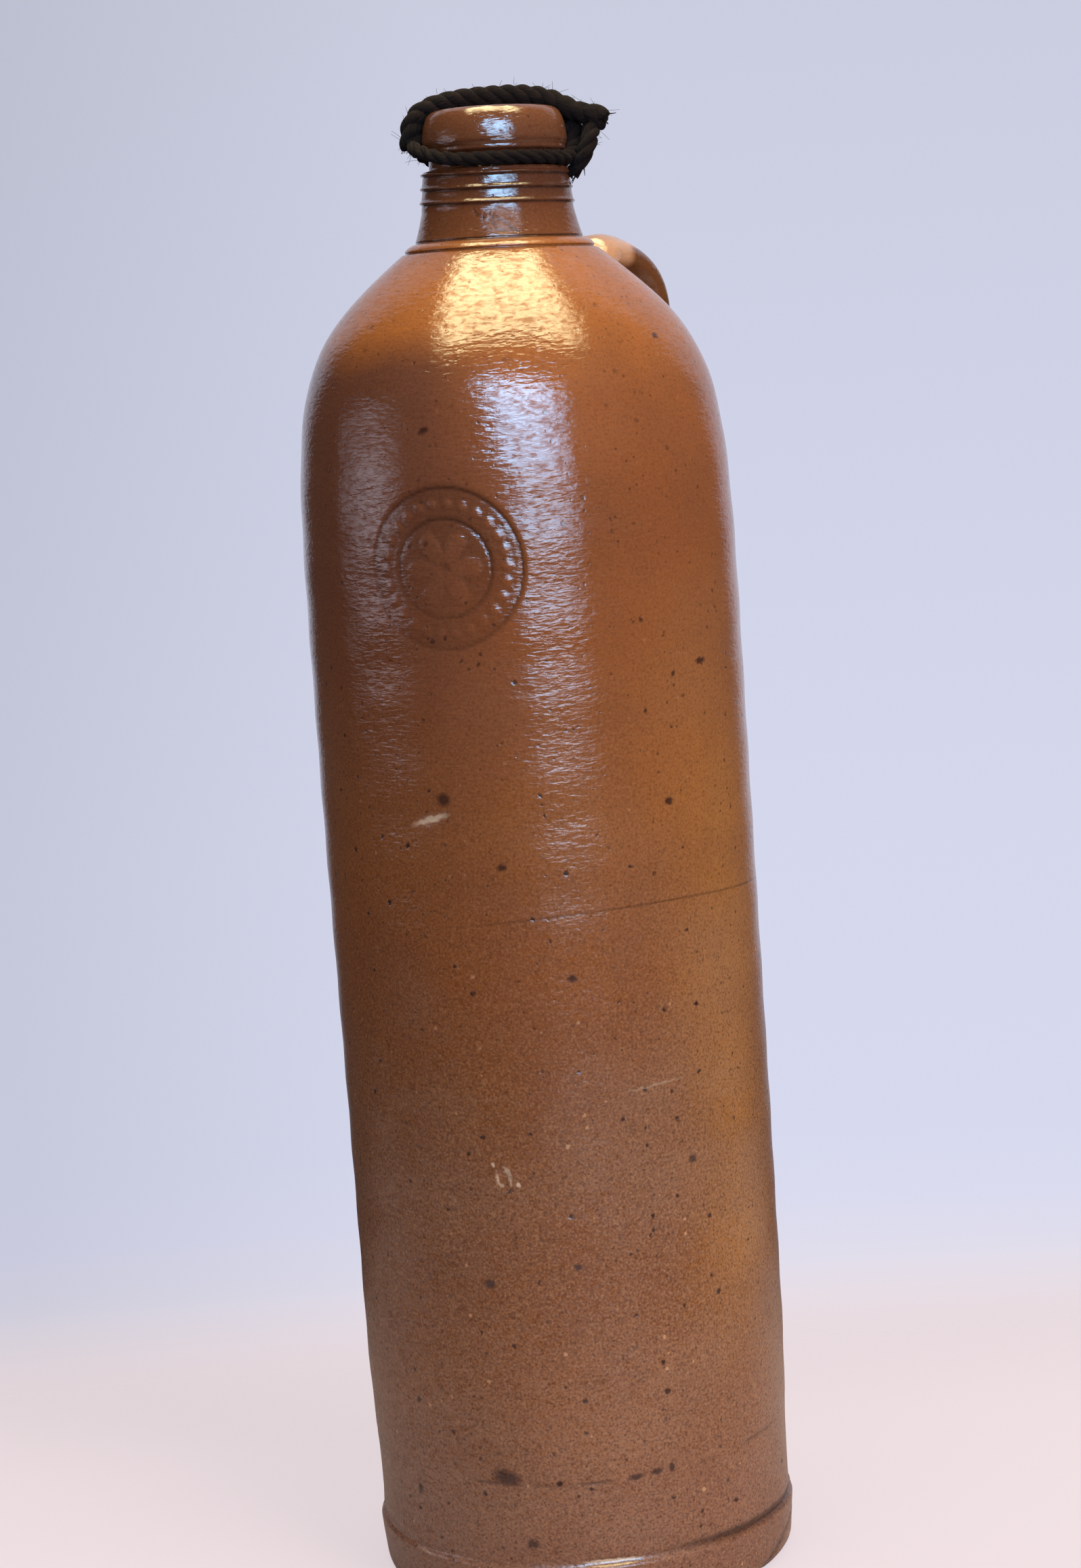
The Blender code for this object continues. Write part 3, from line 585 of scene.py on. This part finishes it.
shine = add(tree, "BsdfPrincipled", {
    "Base Color": look, "Roughness": crawl_dull, "IOR": 1.5, "Specular IOR Level": glass,
    "Normal": relief_look,
})
add(tree, "OutputMaterial", {"Surface": shine}, give=None)
body.data.materials.append(glaze)
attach(body, "bottle")
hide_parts("bottle_body")

# The ear handle: a strip of the same clay pulled by hand, bent into an ear and luted to the shoulder at
# both ends, where it thins out and follows the wall. Its top near the neck is painted pale, fire ash with a
# painted light where the ceiling lamp falls, and the rest, with its sides and underside, is painted dark, a
# painted shade.
HANDLE_HALF_WIDTH = 11.0
HANDLE_HALF_THICKNESS = 4.0
HANDLE_STEP = 0.7
handle_start = (17.4, 266.7)
handle_bow = (50.0, 253.0)
handle_end = (42.4, 226.5)
upper = sweep(handle_start, (39.6, 272.3), (51.5, 264.2), handle_bow)
lower = sweep(handle_bow, (50.0, 243.5), (44.8, 238.5), handle_end)
drawn = np.vstack([upper, lower[1:]])
middle = stations(drawn, np.full(len(drawn), HANDLE_STEP))
travel = np.linspace(0, 1, len(middle))[:, None]
forward = np.gradient(middle, axis=0)
forward /= np.linalg.norm(forward, axis=1)[:, None]
ring_turn = np.linspace(0, 2 * math.pi, 64, endpoint=False)[None, :]
squared = np.sign(np.cos(ring_turn)) * np.abs(np.cos(ring_turn)) ** 0.75
flattened = np.sign(np.sin(ring_turn)) * np.abs(np.sin(ring_turn)) ** 0.75
spread = 1 + 0.22 * np.abs(2 * travel - 1) ** 3
tongue = fade(travel, 0.76, 1.0)
thinned = spread * (1 - 0.6 * fade(travel, 0.13, 0.0) - 0.88 * tongue)
widened = spread * (1 + 0.12 * tongue - 0.62 * fade(travel, 0.86, 1.0) ** 3)
finger = 0.35 * np.cos(3 * math.pi * squared) * np.abs(flattened) * fade(np.abs(2 * travel - 1), 1, 0.6)
wobble = 0.25 * np.sin(9 * travel + 2 * ring_turn) + 0.15 * np.sin(17 * travel - ring_turn)
half_width = HANDLE_HALF_WIDTH * widened * squared + wobble * squared
half_thick = HANDLE_HALF_THICKNESS * thinned * flattened + (finger + wobble) * (1 - tongue) * flattened
droop = 3.6 * (half_width / HANDLE_HALF_WIDTH) ** 2 * fade(travel, 0.16, 0.0)
wrap = half_width**2 / (2 * BODY_RADIUS) * fade(travel, 0.68, 0.9)
handle_grid = np.stack([
    half_width,
    middle[:, :1] - half_thick * forward[:, 1:] - wrap,
    middle[:, 1:] + half_thick * forward[:, :1] - droop,
], axis=-1)
handle_grid = leaned(handle_grid)
handle = skin("luted_ear_handle", handle_grid, handle_grid[0].mean(axis=0), handle_grid[-1].mean(axis=0))
upward = fade(flattened, 0.3, 0.9)
# The pale share: fire ash and a painted light on the top of the handle near the neck.
lit_ash_share = fade(travel, 0.28 + 0.15 * upward, 0.21 + 0.13 * upward) * fade(flattened, -0.9, -0.4)
# Painted shade: the sides, the underside and the far part of the handle take the dark crease colour.
mark(handle, "pooled_glaze_and_shade", 0.7 * (1 - lit_ash_share) * (1 - 0.35 * upward * fade(travel, 0.7, 0.4)))
mark(handle, "crawled", 0 * half_width)
mark(handle, "ash_and_lit_top", 0.8 * lit_ash_share * fade(travel, 0.0, 0.12))
handle.data.materials.append(glaze)
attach(handle, "bottle")
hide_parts("ear_handle")

# The stopper: a plug cut and tapered from the bark of the cork oak, pushed into the mouth.
# It is pulled straight up out of the bore.
cork_low, cork_high = (np.array(corner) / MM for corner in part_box("cork_stopper"))
CORK_RADIUS = cork_high[0]
CORK_FOOT_RADIUS = CORK_RADIUS - 0.7
CORK_BEVEL = 0.6
cork_side = np.vstack([
    line((0.5, cork_high[2]), (CORK_RADIUS - CORK_BEVEL, cork_high[2]), 9),
    arc((CORK_RADIUS - CORK_BEVEL, cork_high[2] - CORK_BEVEL), CORK_BEVEL, 70, 10, 4),
    line((CORK_RADIUS, cork_high[2] - 0.7), (CORK_FOOT_RADIUS, cork_low[2] + 0.7), 30),
    arc((CORK_FOOT_RADIUS - CORK_BEVEL, cork_low[2] + CORK_BEVEL), CORK_BEVEL, -10, -70, 4),
    line((CORK_FOOT_RADIUS - CORK_BEVEL, cork_low[2]), (0.5, cork_low[2]), 9),
])
cork_turn = np.linspace(0, 2 * math.pi, 72, endpoint=False)[None, :]
cork_in = 0.12 * np.maximum(0, np.sin(5 * cork_turn + cork_side[:, 1:] * 0.9)) ** 6
cork_out = cork_side[:, :1] - cork_in
cork_up = cork_side[:, 1:] - 0.15 * np.maximum(0, np.sin(1.1 * cork_side[:, :1] * np.cos(cork_turn))) ** 8
cork_grid = np.stack([cork_out * np.cos(cork_turn), cork_out * np.sin(cork_turn), cork_up], axis=-1)
cork_grid = leaned(cork_grid)
cork = skin("bark_cork_stopper", cork_grid, cork_grid[0].mean(axis=0), cork_grid[-1].mean(axis=0))

# Cork bark: dull tan, with dark brown pores and the streaks of its growth rings.
bark = bpy.data.materials.new("aged_cork_bark")
tree = fresh(bark)
place = add(tree, "TexCoord", give="Object")
drawn_out = add(tree, "VectorMath", [place, (1, 3, 1)], operation="MULTIPLY")
streak = add(tree, "TexNoise", {"Vector": drawn_out, "Scale": 1000 / 4, "Detail": 5.0})
tan = add(tree, "ValToRGB", [streak], stops=[(0.3, "#7c5533"), (0.5, "#a87a4c"), (0.7, "#b98d5f")])
pores = add(tree, "TexVoronoi", {"Vector": drawn_out, "Scale": 1000 / 2.6})
pore = add(tree, "MapRange", [pores, 0.3, 0.15])
pored = add(tree, "Mix", {0: pore, 6: tan, 7: colour("#3a2417")}, data_type="RGBA", give=2)
sunk = add(tree, "Math", [pore, -1.0, streak], operation="MULTIPLY_ADD")
bark_relief = add(tree, "Bump", {"Height": sunk, "Distance": 0.15 * MM})
bark_look = add(tree, "BsdfPrincipled", {"Base Color": pored, "Roughness": 0.85, "Normal": bark_relief})
add(tree, "OutputMaterial", {"Surface": bark_look}, give=None)
cork.data.materials.append(bark)
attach(cork, "stopper")
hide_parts("cork_stopper")

# The neck tie: a length of dark hemp twine, three plies laid up to the right, turned once round the
# groove under the lip and crossed in a knot on the right, with its two ends cut short and frayed.
TIE_RADIUS = 15.1
TIE_HEIGHT = 286.3
ROUTE_STEP = 0.4
PLY_RADIUS = 1.05
PLY_OFFSET = 0.8
PLY_PITCH = 9.0
LOOP_LIFT = 85.0
LOOP_SPAN = 75.0


def through(points, step):
    """A smooth line through the points: between two of them a cubic that leaves each along the chord
    of its neighbours, then read off at even steps along its length."""
    points = np.array(points, dtype=float)
    padded = np.vstack([2 * points[0] - points[1], points, 2 * points[-1] - points[-2]])
    t = np.linspace(0, 1, 24, endpoint=False)[None, :, None]
    a, b, c, d = (padded[k:len(padded) - 3 + k, None, :] for k in range(4))
    bends = (2 * a - 5 * b + 4 * c - d) * t**2 + (3 * b - a - 3 * c + d) * t**3
    dense = np.vstack([(b + 0.5 * ((c - a) * t + bends)).reshape(-1, 3), points[-1:]])
    length = np.concatenate([[0], np.cumsum(np.linalg.norm(np.diff(dense, axis=0), axis=1))])
    even = np.linspace(0, length[-1], int(length[-1] / step) + 1)
    return np.column_stack([np.interp(even, length, dense[:, k]) for k in range(3)])


def unit(vectors):
    """Each vector divided by its own length."""
    return vectors / np.linalg.norm(vectors, axis=-1, keepdims=True)


def directions(lines, toward):
    """Three square directions at each point of a line: along it, towards the given side, across both."""
    along = unit(np.gradient(lines, axis=-2))
    first = unit(toward - (toward * along).sum(axis=-1, keepdims=True) * along)
    return along, first, np.cross(along, first)


def strands(lines, thickness, sides, toward):
    """Round strands on many lines at once, as points, faces and a map. Round each point of a line stands
    a ring: the point plus the radius times the cosine of one square direction and the sine of the other."""
    count, steps = lines.shape[:2]
    first, second = directions(lines, toward)[1:]
    around = np.linspace(0, 2 * math.pi, sides, endpoint=False)[None, None, :, None]
    ring = np.cos(around) * first[:, :, None] + np.sin(around) * second[:, :, None]
    points = lines[:, :, None] + thickness[:, :, None, None] * ring
    numbers = (np.arange(count), np.arange(steps - 1), np.arange(sides))
    strand, row, column = np.meshgrid(*numbers, indexing="ij")
    here = (strand * steps + row) * sides
    beside = (column + 1) % sides
    quads = np.stack([here + column, here + beside, here + sides + beside, here + sides + column], axis=-1)
    length = np.cumsum(np.linalg.norm(np.diff(lines, axis=1, prepend=lines[:, :1]), axis=-1), axis=1)
    start = length[strand, row]
    end = length[strand, row + 1]
    across = np.stack([column, column + 1, column + 1, column], axis=-1) / sides
    run = np.stack([start, start, end, end], axis=-1)
    layout = np.stack([across, run], axis=-1)
    strand, column = np.meshgrid(np.arange(count), np.arange(sides), indexing="ij")
    beside = (column + 1) % sides
    foot = strand * steps * sides
    head = foot + (steps - 1) * sides
    poles = count * steps * sides + 2 * strand
    caps = np.concatenate([
        np.stack([poles, foot + beside, foot + column], axis=-1).reshape(-1, 3),
        np.stack([poles + 1, head + column, head + beside], axis=-1).reshape(-1, 3),
    ])
    ends = np.stack([lines[:, 0], lines[:, -1]], axis=1).reshape(-1, 3)
    vertices = np.vstack([points.reshape(-1, 3), ends])
    return vertices, quads.reshape(-1, 4), caps, layout.reshape(-1, 2)


def twine(name, route, toward, seed, splay, slack):
    """A twine of three plies and its loose hairs. Each ply winds round the route: the route's point plus
    the offset times the cosine and sine of an angle that grows by a full turn each pitch. Towards a cut
    end the plies splay. Slack is the plies' fullness. Hairs start on the plies and bend away."""
    chance = np.random.default_rng(seed)
    along, first, second = directions(route, toward)
    length = np.concatenate([[0], np.cumsum(np.linalg.norm(np.diff(route, axis=0), axis=1))])
    from_end = np.stack([length, length[-1] - length])
    spread = sum(amount * dent(gap, 4.0) for amount, gap in zip(splay, from_end))
    wound = 2 * math.pi * (length / PLY_PITCH + np.arange(3)[:, None] / 3)
    uneven = 1 + 0.1 * np.sin(0.9 * length + 2 * np.arange(3)[:, None]) + 0.06 * np.sin(2.3 * length)
    offset = PLY_OFFSET * slack * (1 + spread)
    wind = np.cos(wound)[..., None] * first + np.sin(wound)[..., None] * second
    plies = route + (offset * np.ones((3, 1)))[..., None] * wind
    ply_radius = PLY_RADIUS * slack * uneven * (1 + 0.25 * spread)
    hairs = 420
    steps = 6
    pick_ply = chance.integers(0, 3, hairs)
    pick = chance.integers(2, len(route) - 2, hairs)
    lead = chance.uniform(-1, 1, hairs)
    share = np.linspace(0, 1, steps)[None, :, None]
    out = unit(wind[pick_ply, pick] + chance.normal(0, 0.7, (hairs, 3)))
    run = along[pick] * np.sign(lead)[:, None] + chance.normal(0, 0.35, (hairs, 3))
    reach = (0.8 + 3.2 * chance.random(hairs) ** 3)[:, None, None]
    start = plies[pick_ply, pick] + 0.6 * out
    hair = start[:, None] + reach * (share * run[:, None] * 0.8 + share**1.6 * out[:, None] * 0.7)
    hair_radius = np.full((hairs, steps), 0.055) * np.linspace(1, 0.5, steps)
    tufts = 90
    which = chance.integers(0, 2, tufts)
    tip = np.where(which == 0, 0, len(route) - 1)
    ahead = along[tip] * np.where(which == 0, -1, 1)[:, None]
    root = route[tip] + chance.normal(0, 0.75, (tufts, 3)) - 1.5 * ahead
    fan = unit(ahead + chance.normal(0, 0.42, (tufts, 3)))
    curl = chance.normal(0, 0.5, (tufts, 3))
    fray_length = (1.0 + 1.3 * chance.random(tufts))[:, None, None]
    fray = root[:, None] + fray_length * (share * fan[:, None] + share**2 * curl[:, None] * 0.4)
    fray_radius = chance.uniform(0.07, 0.24, (tufts, 1)) * np.linspace(1.2, 0.5, steps)
    stray = np.array([0.31, 0.52, 0.79])
    parts = [
        strands(plies, ply_radius, 12, toward),
        strands(hair, hair_radius, 3, stray),
        strands(fray, fray_radius, 5, stray),
    ]
    points, quads, caps, layout = zip(*parts)
    starts = np.cumsum([0] + [len(block) for block in points[:-1]])
    fours, threes = (
        np.vstack([block + start for block, start in zip(faces, starts)]) for faces in (quads, caps)
    )
    piece = solid(name, leaned(np.vstack(points)) * MM, fours.tolist() + threes.tolist())
    flat = np.vstack([*layout, np.zeros((threes.size, 2))])
    piece.data.uv_layers.new(name="lay").data.foreach_set("uv", flat.ravel())
    return piece


def on_neck(out, bearing, rise):
    """A point beside the neck in millimetres: radius out from the tie's middle, bearing in degrees from
    the knot, rise above the tie."""
    bearing = np.radians(bearing) + FACE_TURN
    reach = TIE_RADIUS + out
    height = TIE_HEIGHT + rise + 0 * reach
    return np.stack([reach * np.cos(bearing), reach * np.sin(bearing), height], axis=-1)


loop_bearing = np.linspace(-35, -325, 40)
loop_share = np.cos(np.pi / 2 * np.minimum(np.abs(loop_bearing + 180) / LOOP_SPAN, 1)) ** 2
loop_roll = np.radians(LOOP_LIFT) * loop_share
loop_out = -1.6 + 1.3 * np.cos(loop_roll) + 2.6 * np.sin(loop_roll)
loop_rise = 2.95 + 1.3 * np.sin(loop_roll) - 2.6 * np.cos(loop_roll)
upper_end = np.array([
    (0.6, 13, 9.2), (0.7, 9, 7.4), (0.7, 5, 5.0), (0.4, 0, 2.8), (0.0, -9, 1.2), (-0.2, -22, 0.4),
])
lower_end = np.array([
    (0.1, 30, 0.5), (1.2, 20, 1.7), (2.9, 9, 5.2), (4.1, 0, 6.2), (4.0, -8, 4.0), (3.1, -11, 1.2),
    (1.5, -10, -1.1), (0.1, -7, -2.7),
])
tie_route = through(np.vstack([
    on_neck(*upper_end.T), on_neck(loop_out, loop_bearing, loop_rise), on_neck(*lower_end.T),
]), ROUTE_STEP)
tie_toward = unit(tie_route * (1, 1, 0))
tie_share = np.linspace(0, 1, len(tie_route))
tie_fullness = 0.75 + 0.22 * fade(np.abs(tie_share - 0.47), 0.3, 0.44) - 0.2 * fade(tie_share, 0.95, 1)
neck_tie = twine("hemp_neck_tie", tie_route, tie_toward, 7, (0.3, 0.1), tie_fullness)

# Tarred hemp twine: near-black brown, dull, with paler fibres that run along each ply at a slant. The
# fibres are drawn about 0.2 mm wide, coarser than real hemp, so that they show.
FIBRE_WIDTH = 0.21
FIBRE_SLANT = 0.12
FIBRE_RUN = 0.12
hemp = bpy.data.materials.new("tarred_hemp_twine")
tree = fresh(hemp)
lay = add(tree, "UVMap", uv_map="lay")
lay_axes = add(tree, "SeparateXYZ", [lay], give=None)
slant = add(tree, "Math", [lay_axes["Y"], FIBRE_SLANT, lay_axes["X"]], operation="MULTIPLY_ADD")
slant_turn = add(tree, "Math", [slant, 2 * math.pi], operation="MULTIPLY")
slant_cos = add(tree, "Math", [slant_turn], operation="COSINE")
slant_sin = add(tree, "Math", [slant_turn], operation="SINE")
slow_run = add(tree, "Math", [lay_axes["Y"], FIBRE_RUN], operation="MULTIPLY")
fibre_place = add(tree, "CombineXYZ", [slant_cos, slant_sin, slow_run])
fibre = add(tree, "TexNoise", {
    "Vector": fibre_place, "Scale": PLY_RADIUS / FIBRE_WIDTH, "Detail": 4, "Roughness": 0.65,
})
fibre_tone = add(tree, "ValToRGB", [fibre], stops=[
    (0.35, "#080404"), (0.52, "#130a08"), (0.66, "#261813"), (0.8, "#4c382c"),
])
fibre_relief = add(tree, "Bump", {"Height": fibre, "Distance": 0.25 * MM})
hemp_look = add(tree, "BsdfPrincipled", {
    "Base Color": fibre_tone, "Roughness": 0.9, "Specular IOR Level": 0.12, "Normal": fibre_relief,
})
add(tree, "OutputMaterial", {"Surface": hemp_look}, give=None)
neck_tie.data.materials.append(hemp)
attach(neck_tie, "bottle")
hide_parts("twine_neck_turn")

# The bail: a second strand of the same twine, led from the left of the lip over the cork and down to
# the knot. It presses on the cork and comes away with it.
bail_flat = np.array([
    (-16.4, -6.6), (-16.3, -3.6), (-15.2, -1.1), (-12.4, 0.8), (-7.6, 2.0), (-1.2, 2.5), (5.2, 2.6),
    (10.0, 1.9), (13.3, 0.6), (16.4, -1.1), (19.4, -2.0), (22.0, -2.9),
])
bail_route = through(np.stack([
    bail_flat[:, 0] * math.cos(FACE_TURN),
    bail_flat[:, 0] * math.sin(FACE_TURN),
    MOUTH_HEIGHT + bail_flat[:, 1],
], axis=-1), ROUTE_STEP)
bail_toward = np.array([math.sin(FACE_TURN), -math.cos(FACE_TURN), 0])
bail_fullness = 1.12 + 0.16 * fade(np.linspace(0, 1, len(bail_route)), 0.32, 0.1)
bail = twine("hemp_bail", bail_route, bail_toward, 11, (0.1, 0.3), bail_fullness)
bail.data.materials.append(hemp)
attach(bail, "stopper")
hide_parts("twine_bail")

# The table top: pale paper that runs out into the backdrop behind.
# It is a disc whose rim fades away, so no edge shows from any side.
FLOOR_DROP = -0.05
floor_turn = np.linspace(0, 2 * math.pi, 96, endpoint=False)[None, :]
floor_reach = np.array([20, 60, 100, 160, 240, 340, 460, 600])[::-1, None]
floor_grid = np.stack([
    floor_reach * np.cos(floor_turn), floor_reach * np.sin(floor_turn), np.full((8, 96), FLOOR_DROP),
], axis=-1)
floor = skin("table_paper", floor_grid[::-1], (0, 0, FLOOR_DROP), (0, 0, -0.4))
paper = bpy.data.materials.new("pale_paper")
tree = fresh(paper)
place = add(tree, "TexCoord", give="Object")
turned = add(tree, "VectorRotate", {"Vector": place, "Angle": -FACE_TURN}, rotation_type="Z_AXIS")
depth = add(tree, "SeparateXYZ", [turned], give="Y")
away = add(tree, "VectorMath", [place], operation="LENGTH", give="Value")
gone_back = add(tree, "MapRange", [depth, 0.05, 0.2], interpolation_type="SMOOTHSTEP")
gone_far = add(tree, "MapRange", [away, 0.3, 0.55], interpolation_type="SMOOTHSTEP")
gone = add(tree, "Math", [gone_back, gone_far], operation="MAXIMUM")
tooth = add(tree, "TexNoise", {"Vector": place, "Scale": 1000 / 40, "Detail": 2.0})
paper_tone = add(tree, "ValToRGB", [tooth], stops=[(0.3, "#cfc4c3"), (0.7, "#d6cbca")])
matt = add(tree, "BsdfDiffuse", {"Color": paper_tone})
shade = add(tree, "BsdfDiffuse", {"Color": colour("#8f8688")})
glow = add(tree, "Emission", {"Color": colour("#efe4ea"), "Strength": 0.72})
shown = add(tree, "AddShader", [shade, glow])
seen = add(tree, "LightPath", give="Is Camera Ray")
pale = add(tree, "MixShader", [seen, matt, shown])
clear = add(tree, "BsdfTransparent")
fading = add(tree, "MixShader", [gone, pale, clear])
add(tree, "OutputMaterial", {"Surface": fading}, give=None)
floor.data.materials.append(paper)

# The backdrop: a lavender-white wall, paler and pinker towards the table and a little darker on the left.
# Light and reflections see it behind the bottle only, and a dim room elsewhere.
world = bpy.data.worlds.new("room")
bpy.context.scene.world = world
tree = fresh(world)
sight = add(tree, "TexCoord", give="Generated")
sight_faced = add(tree, "VectorRotate", {"Vector": sight, "Angle": -FACE_TURN}, rotation_type="Z_AXIS")
sight_axes = add(tree, "SeparateXYZ", [sight_faced], give=None)
sunk = add(tree, "MapRange", [sight_axes["Z"], -0.36, 0.14])
wall_tone = add(tree, "ValToRGB", [sunk], stops=[
    (0.0, "#e8dad9"), (0.06, "#e8dce4"), (0.116, "#e1deec"), (0.16, "#dadbef"), (0.2, "#d7d9ee"),
    (0.4, "#d5d8ec"), (0.7, "#cfd2e6"), (1.0, "#c9ccdd"),
])
unlit = add(tree, "MapRange", [sight_axes["X"], -0.02, -0.18, 0, 0.16])
shaded_wall = add(tree, "Mix", {0: unlit, 6: wall_tone, 7: (0, 0, 0, 1)}, data_type="RGBA", give=2)
leaning = add(tree, "Math", [sight_axes["Z"], 0.6, sight_axes["Y"]], operation="MULTIPLY_ADD")
askew = add(tree, "Math", [sight_axes["X"], 0.1, leaning], operation="MULTIPLY_ADD")
behind = add(tree, "MapRange", [askew, 0.74, 0.88])
dim = add(tree, "ValToRGB", [sight_axes["X"]], stops=[(0.0, "#463f3e"), (0.8, "#565151")])
ray = add(tree, "LightPath", give=None)
room_tone = add(tree, "Mix", {0: behind, 6: dim, 7: wall_tone}, data_type="RGBA", give=2)
shown = add(tree, "Mix", {0: ray["Is Camera Ray"], 6: room_tone, 7: shaded_wall}, data_type="RGBA", give=2)
sharp_ray = add(tree, "Math", [ray["Is Camera Ray"], ray["Is Glossy Ray"]], operation="MAXIMUM")
strength = add(tree, "MapRange", [sharp_ray, 0, 1, 0.5, 1.0])
backdrop = add(tree, "Background", {"Color": shown, "Strength": strength})
add(tree, "OutputWorld", {"Surface": backdrop}, give=None)

# The lamps: a warm ceiling panel and a tall cool window that show in the glaze, a weak cool strip on
# the left, and broad soft lamps that light the colours without a reflection of their own.
TO_ROOM = np.array([
    [math.cos(FACE_TURN), -math.sin(FACE_TURN), 0], [math.sin(FACE_TURN), math.cos(FACE_TURN), 0], [0, 0, 1],
])


def card(name, corners, tones, radiance, soft, rise):
    """A pale surface that shows only in reflections, between four corners in metres, seen from the
    camera's side: right, away and up. Its light is the radiance times soft patches, times a slope in from
    the left, right and top edge, times the sum of the rises up from the bottom, each with its start, end
    and share. The first tone is that of the bottom edge, the second that of all above a quarter."""
    cells = 12
    across, up = np.meshgrid(np.linspace(0, 1, cells + 1), np.linspace(0, 1, cells + 1))
    low_left, low_right, high_right, high_left = (np.array(corner) for corner in corners)
    low = low_left + across[..., None] * (low_right - low_left)
    high = high_left + across[..., None] * (high_right - high_left)
    points = (low + up[..., None] * (high - low)).reshape(-1, 3) @ TO_ROOM.T
    first = (np.arange(cells)[:, None] * (cells + 1) + np.arange(cells)).ravel()
    faces = np.column_stack([first, first + 1, first + cells + 2, first + cells + 1])
    sheet = solid(name, points, faces.tolist())
    flat_map = np.stack([across, up], axis=-1).reshape(-1, 2)[faces.ravel()]
    sheet.data.uv_layers.new(name="sheet").data.foreach_set("uv", flat_map.ravel())
    paint = bpy.data.materials.new(name)
    tree = fresh(paint)
    flat = add(tree, "UVMap", uv_map="sheet")
    axes = add(tree, "SeparateXYZ", [flat], give=None)
    patch = add(tree, "TexNoise", {"Vector": flat, "Scale": 22.0, "Detail": 2.0})
    light = add(tree, "MapRange", [patch, 0.35, 0.65, 0.55, 1.45])
    for axis, edge, width in zip("XXY", (0, 1, 1), soft):
        step = add(tree, "MapRange", [axes[axis], edge, abs(edge - width)])
        light = add(tree, "Math", [light, step], operation="MULTIPLY")
    risen = 0.0
    for start, end, share in rise:
        step = add(tree, "MapRange", [axes["Y"], start, end, 0, share])
        risen = add(tree, "Math", [step, risen], operation="ADD")
    light = add(tree, "Math", [light, risen], operation="MULTIPLY")
    full = add(tree, "Math", [light, radiance], operation="MULTIPLY")
    higher = add(tree, "MapRange", [axes["Y"], 0, 0.25])
    tone = add(tree, "Mix", {0: higher, 6: colour(tones[0]), 7: colour(tones[1])}, data_type="RGBA", give=2)
    glow = add(tree, "Emission", {"Color": tone, "Strength": full})
    add(tree, "OutputMaterial", {"Surface": glow}, give=None)
    sheet.data.materials.append(paint)
    sheet.visible_camera = False
    sheet.visible_diffuse = False
    sheet.visible_shadow = False


card("ceiling", [(-0.6, -0.46, 1.06), (0.8, -0.46, 1.06), (0.15, 0.5, 1.06), (-0.17, 0.5, 1.06)],
     ("#fff2bb", "#fff2bb"), 14.5, (0.14, 0.26, 0.14), [(0.0, 0.03, 1.0)])
card("window", [(0.06, -1.2, 0.02), (0.78, -1.2, 0.02), (0.83, -1.2, 1.09), (-0.57, -1.2, 1.09)],
     ("#ead8d2", "#a0d2ff"), 24.0, (0.14, 0.4, 0.07), [(0.03, 0.18, 0.56), (0.42, 0.7, 0.46)])
card("left_wall", [(-1.2, -0.75, 0.07), (-1.2, 0.4, 0.07), (-1.2, 0.4, 0.65), (-1.2, -0.75, 0.65)],
     ("#e6e6f8", "#e6e6f8"), 2.9, (0.35, 0.5, 0.6), [(0.0, 0.25, 1.0)])


def panel(name, spot, aim, size, tone, radiance):
    """A broad soft lamp in metres, seen from the camera's side, that lights without a reflection of its
    own. Its power is pi times the area times the radiance."""
    lamp = bpy.data.lights.new(name, "AREA")
    lamp.size = size
    lamp.color = colour(tone)[:3]
    lamp.energy = math.pi * size**2 * radiance
    carrier = bpy.data.objects.new(name, lamp)
    bpy.context.collection.objects.link(carrier)
    gaze = unit(np.array(spot) - np.array(aim)) @ TO_ROOM.T
    sideways = unit(np.cross(TO_ROOM[:, 1] if abs(gaze[2]) > 0.9 else (0, 0, 1), gaze))
    matrix = np.eye(4)
    matrix[:3, :3] = np.column_stack([sideways, np.cross(gaze, sideways), gaze])
    matrix[:3, 3] = TO_ROOM @ np.array(spot)
    carrier.matrix_world = Matrix(matrix.tolist())
    carrier.visible_glossy = False
    carrier.visible_camera = False


panel("key_light", (0.95, -0.9, 0.75), (0.0, 0.0, 0.15), 1.0, "#fff4ea", 6.3)
panel("ceiling_light", (-0.1, -0.1, 1.2), (-0.1, -0.1, 0.0), 1.1, "#fff0dc", 2.0)
panel("fill_light", (-0.8, -1.0, 0.5), (0.0, 0.0, 0.15), 1.0, "#fff0e6", 0.95)

# The camera: near the height of the shoulder, looking slightly down, held a little askew.
CAMERA_SPOT = np.array([0.9, -600.5, 247.7]) * MM
PITCH = math.radians(8.145)
ROLL = math.radians(-4.108)
SENSOR = 36
FOCAL_PIXELS = 4380
IMAGE_HEIGHT = 2314
level_right = np.array([1.0, 0, 0])
upward = np.array([0, math.sin(PITCH), math.cos(PITCH)])
forward = np.array([0, math.cos(PITCH), -math.sin(PITCH)])
view_right = math.cos(ROLL) * level_right + math.sin(ROLL) * upward
view_up = math.cos(ROLL) * upward - math.sin(ROLL) * level_right
view = np.eye(4)
view[:3, :3] = TO_ROOM @ np.column_stack([view_right, view_up, -forward])
view[:3, 3] = TO_ROOM @ CAMERA_SPOT
lens = bpy.data.cameras.new("camera")
lens.sensor_width = SENSOR
lens.lens = SENSOR * FOCAL_PIXELS / IMAGE_HEIGHT
lens.clip_start = 0.01
camera = bpy.data.objects.new("camera", lens)
bpy.context.collection.objects.link(camera)
camera.matrix_world = Matrix(view.tolist())
bpy.context.scene.camera = camera
bpy.context.scene.view_settings.view_transform = "Standard"
